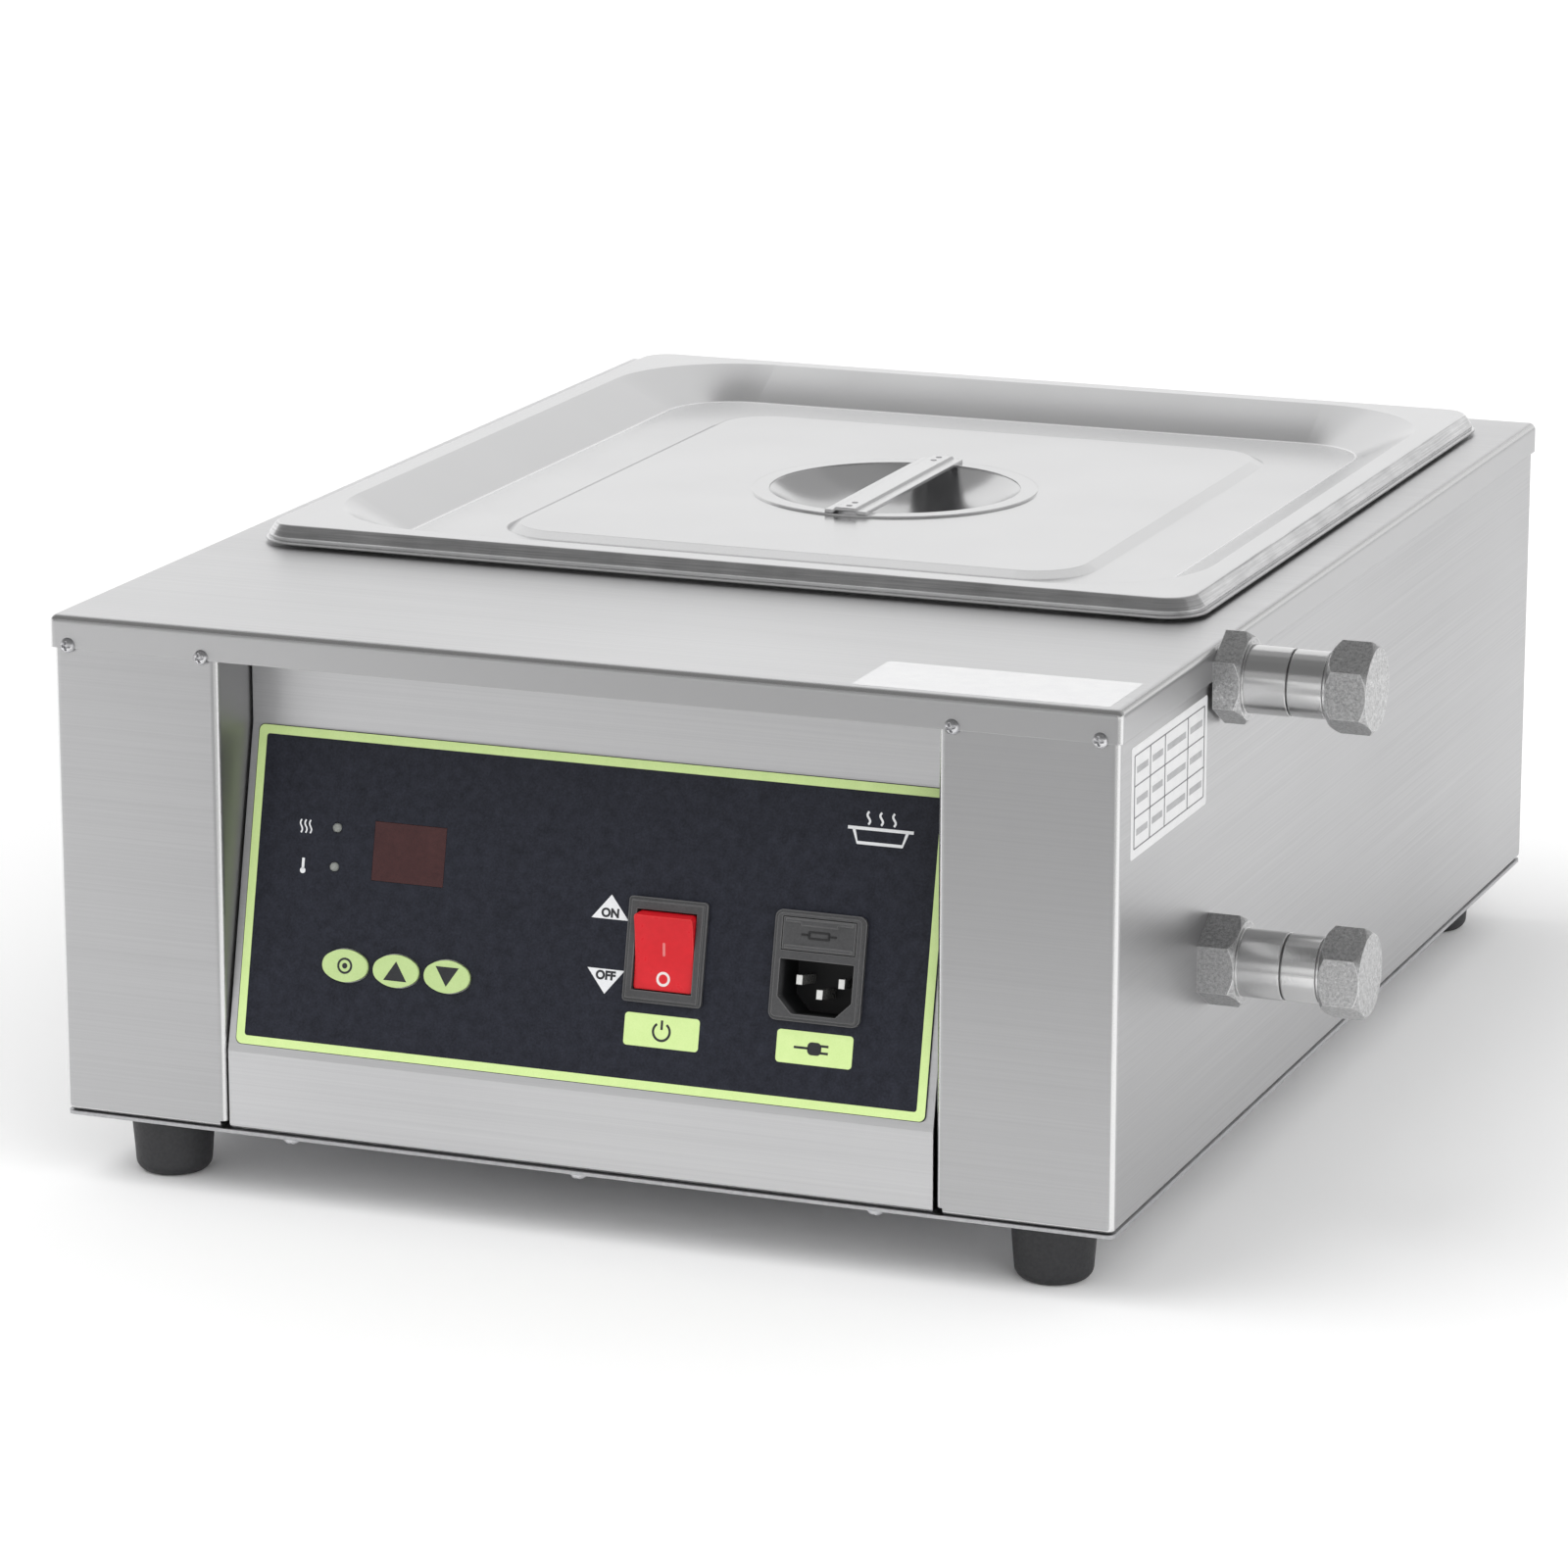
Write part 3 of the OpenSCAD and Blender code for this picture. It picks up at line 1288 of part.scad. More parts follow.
// Drawn pan: flat rim, bend, sloping wall, rounded foot and floor
module pan() {
  bend_z = pan_seat - pan_bend_r;
  foot_z = pan_floor + pan_foot_r;
  floor_in = pan_taper + pan_t + pan_foot_r;
  color([0.8, 0.8, 0.81]) translate([0, pan_y, 0]) {
    translate([0, 0, pan_seat]) linear_extrude(height = pan_t)
      rring(pan_rim_w, pan_rim_d, pan_rim_r,
        pan_w + 2 * pan_bend_r, pan_l + 2 * pan_bend_r, pan_corner_r + pan_bend_r);
    rim_sweep(pan_w, pan_l, pan_corner_r) union() {
      translate([pan_bend_r, bend_z]) arc_strip(pan_bend_r, pan_bend_r + pan_t, 90, 180);
      polygon([[0, bend_z], [-pan_t, bend_z], [-pan_taper - pan_t, foot_z], [-pan_taper, foot_z]]);
      translate([-floor_in, foot_z]) arc_strip(pan_foot_r, pan_foot_r + pan_t, 270, 360);
    }
    translate([0, 0, pan_floor - pan_t]) linear_extrude(height = pan_t)
      rrect(pan_w - 2 * floor_in, pan_l - 2 * floor_in, pan_corner_r - floor_in);
  }
}

// Pressed lid: skirt, ledge, sloping tray wall, channel, raised panel and finger bowl
module lid_shell() {
  panel_w2 = raised_w - 2 * lid_slope;
  panel_l2 = raised_l - 2 * lid_slope;
  bowl_sphere = (bowl_r * bowl_r + bowl_depth * bowl_depth) / (2 * bowl_depth);
  ring_r = bowl_r + bowl_ring;
  skirt_foot = lid_edge_r - lid_skirt;
  lean = [cos(lid_lean), sin(lid_lean)];
  color([0.84, 0.84, 0.85]) translate([0, pan_y, 0]) {
    rim_sweep(lid_w, lid_l, lid_r) translate([-lid_edge_in, lid_top - lid_edge_r]) {
      polygon([[lid_edge_in - lid_t, skirt_foot], [lid_edge_in, skirt_foot],
        [lid_edge_in, skirt_foot + lid_hem], lid_edge_r * lean, (lid_edge_r - lid_t) * lean,
        [lid_edge_in - lid_t, skirt_foot + lid_hem - lid_t * tan(lid_lean / 2)]]);
      arc_strip(lid_edge_r - lid_t, lid_edge_r, lid_lean, 90);
    }
    translate([0, 0, lid_top - lid_t]) linear_extrude(height = lid_t)
      rring(lid_w - 2 * lid_edge_in, lid_l - 2 * lid_edge_in, lid_r - lid_edge_in,
        tray_w, tray_l, lid_tray_r);
    rim_sweep(tray_w, tray_l, lid_tray_r)
      polygon([[0, lid_top], [-lid_run, lid_floor], [-lid_run, lid_floor - lid_t], [0, lid_top - lid_t]]);
    translate([0, 0, lid_floor - lid_t]) linear_extrude(height = lid_t)
      rring(floor_w, floor_l, lid_tray_r - lid_run, raised_w, raised_l, lid_panel_r);
    rim_sweep(raised_w, raised_l, lid_panel_r)
      polygon([[0, lid_floor], [-lid_slope, lid_panel_z],
        [-lid_slope, lid_panel_z - lid_t], [0, lid_floor - lid_t]]);
    translate([0, 0, lid_panel_z - lid_t]) linear_extrude(height = lid_t) difference() {
      rrect(panel_w2, panel_l2, lid_panel_r - lid_slope);
      circle(ring_r);
    }
    rotate_extrude() {
      translate([bowl_r, lid_panel_z - lid_t]) square([bowl_ring, lid_t + bowl_step]);
      intersection() {
        translate([0, lid_panel_z - bowl_depth + bowl_sphere]) difference() {
          circle(bowl_sphere + lid_t, $fn = 180);
          circle(bowl_sphere, $fn = 180);
        }
        translate([0, lid_panel_z - 2 * bowl_depth]) square([bowl_r + lid_t, 2 * bowl_depth]);
      }
    }
  }
}

// Ribbed strap welded across the finger bowl, front to back
module lid_handle() {
  x = strap_w / 2;
  rib = x - strap_edge;
  z = lid_panel_z + bowl_step;
  color([0.8, 0.8, 0.81]) translate([0, pan_y, z]) rotate([90, 0, 0])
    linear_extrude(height = strap_l, center = true) polygon([
      [-x, 0], [-rib, 0], [-rib + strap_rib, strap_rib], [rib - strap_rib, strap_rib],
      [rib, 0], [x, 0], [x, strap_t], [rib, strap_t],
      [rib - strap_rib, strap_t + strap_rib], [-rib + strap_rib, strap_t + strap_rib],
      [-rib, strap_t], [-x, strap_t]]);
}

casing_wrap();
top_plate();
base_plate();
rubber_feet();
foot_bolts();
foot_nuts();
lip_screws();
base_screws();
control_panel();
panel_overlay();
display_window();
indicator_lamps();
set_key();
up_key();
down_key();
switch_housing();
switch_terminals();
rocker();
inlet_housing();
inlet_pins();
fuse_drawer();
fuse();
board_standoffs();
control_board();
board_screws();
display_module();
key_switches();
relay();
transformer();
terminal_block();
water_tank();
heating_element();
temperature_probe();
wall_glands();
gland_seals();
gland_nuts();
thermal_cutout();
drain_pipe();
drain_union();
drain_washer();
drain_cap();
overflow_pipe();
overflow_union();
overflow_washer();
overflow_cap();
earth_stud();
earth_nut();
pan();
lid_shell();
lid_handle();
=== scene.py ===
import json
import math

import bmesh
import bpy
import numpy as np
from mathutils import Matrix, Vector


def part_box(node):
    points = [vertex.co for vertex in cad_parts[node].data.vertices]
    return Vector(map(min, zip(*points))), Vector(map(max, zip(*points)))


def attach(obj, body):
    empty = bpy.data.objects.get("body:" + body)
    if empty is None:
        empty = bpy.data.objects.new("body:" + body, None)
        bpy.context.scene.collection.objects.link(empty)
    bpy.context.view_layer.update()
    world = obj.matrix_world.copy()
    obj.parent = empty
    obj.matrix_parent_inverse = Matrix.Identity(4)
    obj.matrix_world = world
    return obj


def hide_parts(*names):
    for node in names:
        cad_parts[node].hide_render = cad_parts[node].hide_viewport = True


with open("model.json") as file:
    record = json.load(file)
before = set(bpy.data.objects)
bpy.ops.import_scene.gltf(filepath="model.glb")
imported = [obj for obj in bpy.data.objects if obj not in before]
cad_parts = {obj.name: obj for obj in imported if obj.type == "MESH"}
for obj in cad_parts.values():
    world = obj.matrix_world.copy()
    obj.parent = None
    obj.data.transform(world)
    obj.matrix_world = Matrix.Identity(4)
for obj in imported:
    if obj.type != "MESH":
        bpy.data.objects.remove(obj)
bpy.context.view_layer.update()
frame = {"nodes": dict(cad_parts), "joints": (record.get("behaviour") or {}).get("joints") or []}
nodes = frame["nodes"]
joints = {joint["name"]: joint for joint in frame["joints"]}

# Surroundings: a plain white studio with nothing in it to see.
# The sky is full white where it is seen or mirrored, and lower where it only fills with light.
scene = bpy.context.scene
scene.view_settings.view_transform = "Standard"


def shader_node(tree, kind, entries=None, **settings):
    """Adds a shader node: its settings, then a link or a constant for each named or numbered input."""
    made = tree.nodes.new("ShaderNode" + kind)
    for key, value in settings.items():
        setattr(made, key, value)
    for key, value in (entries or {}).items():
        if isinstance(value, bpy.types.NodeSocket):
            tree.links.new(value, made.inputs[key])
        else:
            made.inputs[key].default_value = value
    return made


def number_step(tree, operation, first, second):
    """One sum on two numbers, each a link or a constant."""
    return shader_node(tree, "Math", {0: first, 1: second}, operation=operation).outputs[0]


def ramp(tree, value, low, high, start=0.0, end=1.0):
    """Runs evenly from start to end as a value goes from low to high, and stays level beyond."""
    entries = {"Value": value, "From Min": low, "From Max": high, "To Min": start, "To Max": end}
    return shader_node(tree, "MapRange", entries).outputs["Result"]


def seen_directly(tree):
    """Mask that is 1 for camera, glossy and transmission rays and 0 for the light that bounces about."""
    path = shader_node(tree, "LightPath").outputs
    mirrored = number_step(tree, "MAXIMUM", path["Is Camera Ray"], path["Is Glossy Ray"])
    return number_step(tree, "MAXIMUM", mirrored, path["Is Transmission Ray"])


sky_seen, sky_fill = 1.0, 0.70
world = bpy.data.worlds.new("white_studio")
world.use_nodes = True
scene.world = world
sky = world.node_tree.nodes["Background"].inputs
sky["Color"].default_value = (1, 1, 1, 1)
sky_level = ramp(world.node_tree, seen_directly(world.node_tree), 0, 1, sky_fill, sky_seen)
world.node_tree.links.new(sky_level, sky["Strength"])


# Floor: a plain sheet of pale matt paper that carries the tank and keeps its shadow.
# It is white to look at and greyer in the light that it throws back.
def mixed(tree, kind, mask, first, second):
    """Goes from a first value to a second one as a mask goes from 0 to 1."""
    entries = {"Factor": mask, "A": first, "B": second}
    return shader_node(tree, "Mix", entries, data_type=kind).outputs["Result"]


def flat_sheet(name, corners, finish, **settings):
    """A flat sheet of the studio between four corners."""
    mesh = bpy.data.meshes.new(name)
    mesh.from_pydata(corners, [], [(0, 1, 2, 3)])
    mesh.materials.append(finish)
    sheet = bpy.data.objects.new(name, mesh)
    for key, value in settings.items():
        setattr(sheet, key, value)
    scene.collection.objects.link(sheet)


floor_half = 12.0
floor_bounce, floor_white = (0.72, 0.72, 0.72, 1), (1.0, 1.0, 1.0, 1)
floor_paper = bpy.data.materials.new("floor_paper")
floor_paper.use_nodes = True
floor_tree = floor_paper.node_tree
floor_tree.nodes.remove(floor_tree.nodes["Principled BSDF"])
floor_tone = mixed(floor_tree, "RGBA", seen_directly(floor_tree), floor_bounce, floor_white)
floor_matt = shader_node(floor_tree, "BsdfDiffuse", {"Color": floor_tone})
floor_tree.links.new(floor_matt.outputs[0], floor_tree.nodes["Material Output"].inputs["Surface"])
flat_sheet("floor", [(x * floor_half, y * floor_half, 0) for x, y in ((-1, -1), (1, -1), (1, 1), (-1, 1))],
           floor_paper)

# Lamps: two broad suns, as from a window at the upper left and a pale wall on the right.
# Neither shows in the steel, which mirrors the sky and the cards alone.
tank_middle = Vector((0, 0, 0.1))


def sun(name, place, energy, spread):
    """A sun lamp at a place, turned to face the tank, as broad as an angle in degrees."""
    data = bpy.data.lights.new(name, "SUN")
    data.energy = energy
    data.angle = math.radians(spread)
    made = bpy.data.objects.new(name, data)
    made.location = place
    made.rotation_euler = (tank_middle - Vector(place)).to_track_quat("-Z", "Y").to_euler()
    made.visible_glossy = False
    scene.collection.objects.link(made)


sun("window_light", (-2.0, -1.2, 3.4), 1.0, 50)
sun("right_fill", (2.2, -1.4, 1.0), 1.4, 70)


# Cards: flat grey boards round the tank that show in the steel and nowhere else.
# They stand for a room: pale low down, dark overhead, with a bright gap behind the middle.
def card(name, corners, level):
    """A grey card that only shows in reflections, as bright as its level."""
    grey = bpy.data.materials.new(name)
    grey.use_nodes = True
    glow = shader_node(grey.node_tree, "Emission", {"Color": (level, level, level, 1)})
    grey.node_tree.links.new(glow.outputs[0], grey.node_tree.nodes["Material Output"].inputs["Surface"])
    flat_sheet(name, corners, grey, visible_camera=False, visible_diffuse=False, visible_shadow=False,
               visible_transmission=False)


def upright_card(name, left, right, y, low, high, level):
    """A grey card that stands across the view, between two sides and two heights."""
    card(name, [(left, y, low), (right, y, low), (right, y, high), (left, y, high)], level)


def level_card(name, left, right, front, back, z, level):
    """A grey card that lies level, between two sides and from front to back."""
    card(name, [(left, front, z), (right, front, z), (right, back, z), (left, back, z)], level)


room_side, room_front, room_back, room_top = 6.0, -3.6, 3.2, 1.75
card_foot, band_top, dark_front, dark_back, back_left = 0.02, 1.15, -2.2, -0.55, 0.1
overhead_mid, overhead_back, wall_mid, back_mid = 0.15, 1.05, 1.3, -0.8
upright_card("front_low_card", -room_side, room_side, room_front, card_foot, band_top, 0.86)
upright_card("front_high_card", -room_side, room_side, room_front, band_top, room_top, 0.4)
upright_card("back_right_low_card", back_left, room_side, room_back, card_foot, wall_mid, 0.8)
upright_card("back_right_high_card", back_left, room_side, room_back, wall_mid, room_top, 0.42)
upright_card("back_middle_card", back_mid, back_left, room_back, wall_mid, room_top, 0.88)
level_card("ceiling_middle_card", back_mid, back_left, overhead_back, room_back, room_top, 0.88)
level_card("ceiling_front_card", -room_side, room_side, room_front, dark_front, room_top, 0.45)
level_card("ceiling_dark_card", -room_side, room_side, dark_front, dark_back, room_top, 0.2)
level_card("overhead_front_card", -room_side, room_side, dark_back, overhead_mid, room_top, 0.22)
level_card("overhead_back_card", -room_side, room_side, overhead_mid, overhead_back, room_top, 0.36)
level_card("ceiling_right_card", back_left, room_side, overhead_back, room_back, room_top, 0.42)
mat_left, mat_half, mat_back, mat_front, mat_z = -0.2, 1.4, -0.5, -3.0, 0.002
card("near_floor_card", [(mat_left, mat_back, mat_z), (mat_half, mat_back, mat_z),
                         (mat_half, mat_front, mat_z), (-mat_half, mat_front, mat_z)], 0.55)

# Camera: at the photograph's place, with a long lens, a little to the right and above.
# Its place, turn and lens were fitted to the cabinet's corners in the square frame.
camera_place = (0.7515, -1.9828, 0.6338)
camera_yaw, camera_pitch = math.radians(21.323), math.radians(14.337)
focal_pixels, frame_pixels = 6449.7, 1600
camera_data = bpy.data.cameras.new("camera")
camera_data.sensor_width = 36.0
camera_data.lens = camera_data.sensor_width * focal_pixels / frame_pixels
camera = bpy.data.objects.new("camera", camera_data)
camera.location = camera_place
camera.rotation_euler = (math.pi / 2 - camera_pitch, 0, camera_yaw)
scene.collection.objects.link(camera)
scene.camera = camera


# Rubber feet: moulded black rubber, bolted through the base plate.
# The skin is matt with a fine mould grain, and the edges are painted paler as highlights.
def shader_group(name, entries, results):
    """A shader group with named inputs and outputs: the group, what it is given, where its results go."""
    group = bpy.data.node_groups.new(name, "ShaderNodeTree")
    for side, sockets in (("INPUT", entries), ("OUTPUT", results)):
        for label, kind in sockets.items():
            group.interface.new_socket(label, in_out=side, socket_type="NodeSocket" + kind)
    return group, group.nodes.new("NodeGroupInput").outputs, group.nodes.new("NodeGroupOutput").inputs


def vector_step(tree, operation, *values):
    """One sum on vectors, each a link or a constant; a length or a dot product comes out as a number."""
    made = shader_node(tree, "VectorMath", dict(enumerate(values)), operation=operation)
    return made.outputs["Value" if operation in ("LENGTH", "DOT_PRODUCT") else "Vector"]


def grain_group():
    """Surface grain: fine noise on stretched object coordinates, over slow clouds of tone.
    Long stretches give brush lines, equal ones a moulded or cast skin."""
    group, given, result = shader_group(
        "surface_grain", {"Stretch": "Vector", "Cloud": "Float", "Light": "Color", "Dark": "Color",
                          "Smooth": "Float", "Rough": "Float"},
        {"Color": "Color", "Roughness": "Float", "Height": "Float"})
    place = shader_node(group, "TexCoord").outputs["Object"]
    stretched = vector_step(group, "MULTIPLY", place, given["Stretch"])
    fine = shader_node(group, "TexNoise", {"Vector": stretched, "Scale": 1.0, "Detail": 4.0}).outputs["Fac"]
    cloud = shader_node(group, "TexNoise", {"Vector": place, "Scale": given["Cloud"], "Detail": 3.0})
    cloud_share, darkest, lightest = 0.45, 0.3, 0.7
    spread = ramp(group, mixed(group, "FLOAT", cloud_share, fine, cloud.outputs["Fac"]), darkest, lightest)
    group.links.new(mixed(group, "RGBA", spread, given["Dark"], given["Light"]), result["Color"])
    group.links.new(ramp(group, spread, 0, 1, given["Rough"], given["Smooth"]), result["Roughness"])
    group.links.new(fine, result["Height"])
    return group


def edge_group():
    """Edge highlights: where the surface normal, averaged over a small radius, turns away from the face;
    edges there are painted lighter.
    """
    group, given, result = shader_group("rubbed_edges", {"Radius": "Float"},
                                        {"Mask": "Float", "Normal": "Vector"})
    rounded = shader_node(group, "Bevel", {"Radius": given["Radius"]}, samples=6).outputs["Normal"]
    alike = vector_step(group, "DOT_PRODUCT", rounded, shader_node(group, "NewGeometry").outputs["Normal"])
    face_alike, edge_alike = 0.99, 0.85
    group.links.new(ramp(group, alike, face_alike, edge_alike), result["Mask"])
    group.links.new(rounded, result["Normal"])
    return group


surface_grain = grain_group()
rubbed_edges = edge_group()


def feed(finish, entry, value):
    """Links a value to an input of a finish's shader."""
    finish.node_tree.links.new(value, finish.node_tree.nodes["Principled BSDF"].inputs[entry])


def surface(name, light, dark, smooth, rough, stretch, cloud, edge, metallic=0.0, relief=0.0,
            edge_tint=None, **constants):
    """A finish: grain between two tones, roughness, a shallow relief in metres and painted edge highlights.
    The stretch of the grain is one number, or one for each axis."""
    made = bpy.data.materials.new(name)
    made.use_nodes = True
    tree = made.node_tree
    shader = tree.nodes["Principled BSDF"]
    shader.inputs["Metallic"].default_value = metallic
    for key, value in constants.items():
        shader.inputs[key.replace("_", " ")].default_value = value
    grain = shader_node(tree, "Group", {
        "Stretch": np.broadcast_to(stretch, 3), "Cloud": cloud, "Light": (*light, 1), "Dark": (*dark, 1),
        "Smooth": smooth, "Rough": rough}, node_tree=surface_grain).outputs
    worn = shader_node(tree, "Group", {"Radius": edge}, node_tree=rubbed_edges).outputs
    bump = shader_node(tree, "Bump", {"Distance": relief, "Strength": 1.0 if relief else 0.0,
                                      "Height": grain["Height"], "Normal": worn["Normal"]})
    # Edges are mixed towards a lighter tone here: painted highlights.
    feed(made, "Base Color", mixed(tree, "RGBA", worn["Mask"], grain["Color"], (*(edge_tint or light), 1)))
    feed(made, "Roughness", grain["Roughness"])
    feed(made, "Normal", bump.outputs["Normal"])
    return made


def dress(finish, *names):
    """Gives CAD nodes a finish."""
    for name in names:
        nodes[name].data.materials.clear()
        nodes[name].data.materials.append(finish)


foot_rubber = surface("foot_rubber", (0.034, 0.034, 0.037), (0.022, 0.022, 0.024), 0.48, 0.66, 900,
                      cloud=30, relief=0.00002, edge=0.001, edge_tint=(0.08, 0.08, 0.082))
dress(foot_rubber, "rubber_feet")

# Foot bolts, nuts and screws: steel with a bright, finely grained zinc plate.
# The bolts go up through the feet into nuts on the base plate.
plated_steel = surface("plated_steel", (0.80, 0.80, 0.81), (0.62, 0.62, 0.64), 0.22, 0.36, 2500, cloud=60,
                       metallic=1.0, relief=0.00001, edge=0.0002)
dress(plated_steel, "foot_bolts", "foot_nuts", "lip_screws", "base_screws", "board_screws")

# Base plate: cold-rolled stainless sheet with cooling slots, left as it comes from the mill.
# The rolling lines run front to back.
mill_steel = surface("mill_steel", (0.58, 0.58, 0.59), (0.44, 0.44, 0.455), 0.38, 0.55, (700, 12, 700),
                     cloud=5, metallic=1.0, relief=0.000012, edge=0.0003)
dress(mill_steel, "base_plate")


# Base screws: plated cross-head screws that hold the base plate to the casing's flange from below.
# Each head is a low dome with a cross pressed into it.
def hang(name, mesh, finish, body):
    """Makes a finished mesh an object that rides on a body."""
    mesh.materials.append(finish)
    piece = bpy.data.objects.new(name, mesh)
    scene.collection.objects.link(piece)
    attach(piece, body)
    return piece


touching = 2e-7


def grid_piece(name, points, finish, body, ring=False):
    """Mesh from copies of rows of points: each row is a closed loop, and quads join neighbouring rows.
    With ring the last row joins the first. Points that meet are merged and faces turned outwards."""
    points = points.reshape(-1, *points.shape[-3:])
    index = np.arange(points[..., 0].size).reshape(points.shape[:3])
    near = index if ring else index[:, :-1]
    far = np.roll(index, -1, axis=1) if ring else index[:, 1:]
    quads = np.stack([near, np.roll(near, -1, axis=2), np.roll(far, -1, axis=2), far], axis=-1)
    mesh = bpy.data.meshes.new(name)
    mesh.from_pydata(points.reshape(-1, 3).tolist(), [], quads.reshape(-1, 4).tolist())
    work = bmesh.new()
    work.from_mesh(mesh)
    bmesh.ops.remove_doubles(work, verts=work.verts, dist=touching)
    bmesh.ops.dissolve_degenerate(work, edges=work.edges, dist=touching)
    bmesh.ops.recalc_face_normals(work, faces=work.faces)
    work.to_mesh(mesh)
    work.free()
    return hang(name, mesh, finish, body)


def screw_heads(name, places, out, up, width, height):
    """Screw heads on polar grids: the height falls as a ball's cap from the crown to the rim, less a cross
    of two slots with sloping sides. The last row, at the middle of the seat, closes the back."""
    slot_half, slot_side, slot_reach, slot_end, slot_depth, turn_step = 0.16, 0.05, 0.62, 0.1, 0.55, 2.4
    part = np.append(np.linspace(0, 1, 16), 0)[:, None]
    turn = np.linspace(0, 2 * np.pi, 48, endpoint=False)
    ball = (width ** 2 / 4 + height ** 2) / (2 * height)
    dome = np.sqrt(ball ** 2 - (part * width / 2) ** 2) - ball + height
    across, along = np.abs(part * np.cos(turn)), np.abs(part * np.sin(turn))
    slots = [np.clip((slot_half - a) / slot_side, 0, 1) * np.clip((slot_reach - b) / slot_end, 0, 1)
             for a, b in ((across, along), (along, across))]
    rise = dome - slot_depth * height * np.maximum(*slots)
    rise[-1] = 0
    places, out, up = (np.array(values, float)[:, None, None] for values in (places, out, up))
    spin = turn + turn_step * np.arange(len(places))[:, None, None]
    right = np.cross(up, out)
    arm = part[..., None] * width / 2 * (np.cos(spin)[..., None] * right + np.sin(spin)[..., None] * up)
    return grid_piece(name, places + arm + rise[..., None] * out, plated_steel, "cabinet")


casing_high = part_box("casing_wrap")[1]
base_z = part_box("base_plate")[0].z
base_in, base_pitch, base_side_y = 0.0046, 0.1, 0.146
base_head_w, base_head_h = 0.007, 0.0026
base_x, base_y = casing_high.x - base_in, casing_high.y - base_in
base_places = [(x * base_pitch, side * base_y, base_z) for x in (-1, 0, 1) for side in (-1, 1)]
base_places += [(side * base_x, y * base_side_y, base_z) for y in (-1, 1) for side in (-1, 1)]
base_heads = screw_heads("base_screw_heads", base_places, [(0, 0, -1)] * len(base_places),
                         [(0, 1, 0)] * len(base_places), base_head_w, base_head_h)
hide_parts("base_screws")


# Casing: one satin stainless sheet folded round the sides and back and in behind the front posts.
# The brush lines run level all the way round; the bends are painted bright as highlights and the returns
# painted darker as shade.
def bend_group():
    """Folded bends: where the surface normal lies well away from all three axes, as on a rounded fold."""
    group, _, result = shader_group("folded_bends", {}, {"Mask": "Float"})
    facing = vector_step(group, "ABSOLUTE", shader_node(group, "TexCoord").outputs["Normal"])
    parts = shader_node(group, "SeparateXYZ", {0: facing}).outputs
    level = number_step(group, "MAXIMUM", parts["X"], parts["Y"])
    largest = number_step(group, "MAXIMUM", level, parts["Z"])
    flat_facing, bend_facing = 0.94, 0.87
    group.links.new(ramp(group, largest, flat_facing, bend_facing), result["Mask"])
    return group


folded_bends = bend_group()


def fed(finish, entry):
    """What feeds an input of a finish's shader so far."""
    return finish.node_tree.nodes["Principled BSDF"].inputs[entry].links[0].from_socket


def overlay_values(finish, mask, tone, gloss):
    """Where a mask is 1 a finish takes another tone and roughness."""
    for entry, kind, value in (("Base Color", "RGBA", (*tone, 1)), ("Roughness", "FLOAT", gloss)):
        feed(finish, entry, mixed(finish.node_tree, kind, mask, fed(finish, entry), value))


def shine_bends(finish):
    """Paints the bends of a folded sheet bright and glossy, as highlights along the folds."""
    bends = shader_node(finish.node_tree, "Group", node_tree=folded_bends)
    overlay_values(finish, bends.outputs["Mask"], (0.8, 0.8, 0.8), 0.22)


def axis_mask(tree, source, axis, low, high):
    """Mask from 0 to 1 as a place or a normal runs from one level to another along an axis."""
    along = vector_step(tree, "DOT_PRODUCT", shader_node(tree, "TexCoord").outputs[source], axis)
    return ramp(tree, along, low, high)


satin_casing = surface("satin_casing", (0.528, 0.528, 0.533), (0.478, 0.478, 0.485), 0.32, 0.46,
                       (5, 5, 1700), cloud=4, metallic=1.0, relief=0.000006, edge=0.0004,
                       edge_tint=(0.8, 0.8, 0.8))
casing_tree = satin_casing.node_tree
# The returns inside the posts are painted darker as shade.
for side in (-1, 1):
    facing_in = axis_mask(casing_tree, "Normal", (-side, 0, 0), 0.5, 0.9)
    on_side = axis_mask(casing_tree, "Object", (side, 0, 0), 0.01, 0.02)
    on_return = number_step(casing_tree, "MULTIPLY", facing_in, on_side)
    overlay_values(satin_casing, on_return, (0.46, 0.46, 0.465), 0.5)
shine_bends(satin_casing)
dress(satin_casing, "casing_wrap")


# Rating label: a white sticker on the right-hand side near the front.
# It is printed with ruled lines and plain grey bars, and bears no words.
def round_loop(width, height, radius, per_corner=10):
    """Rounded rectangle about the middle: four quarter arcs, one after another."""
    angle = np.arange(4)[:, None] * np.pi / 2 + np.linspace(0, np.pi / 2, per_corner)
    side_x = np.array([1, -1, -1, 1])[:, None]
    side_y = np.array([1, 1, -1, -1])[:, None]
    x = side_x * (width / 2 - radius) + radius * np.cos(angle)
    y = side_y * (height / 2 - radius) + radius * np.sin(angle)
    return x.ravel(), y.ravel()


ink = 0.00006


def plate(name, face, loop, x, s, finish, body="cabinet"):
    """Flat plate on a face: its outline at the foot and at the top, drawn in to the middle."""
    across, up = loop
    shrink = np.array([1, 1, 0.5, 0])[:, None]
    lift = ink * np.array([0, 1, 1, 1])[:, None]
    grid_piece(name, face(x + shrink * across, s - shrink * up, lift), finish, body)


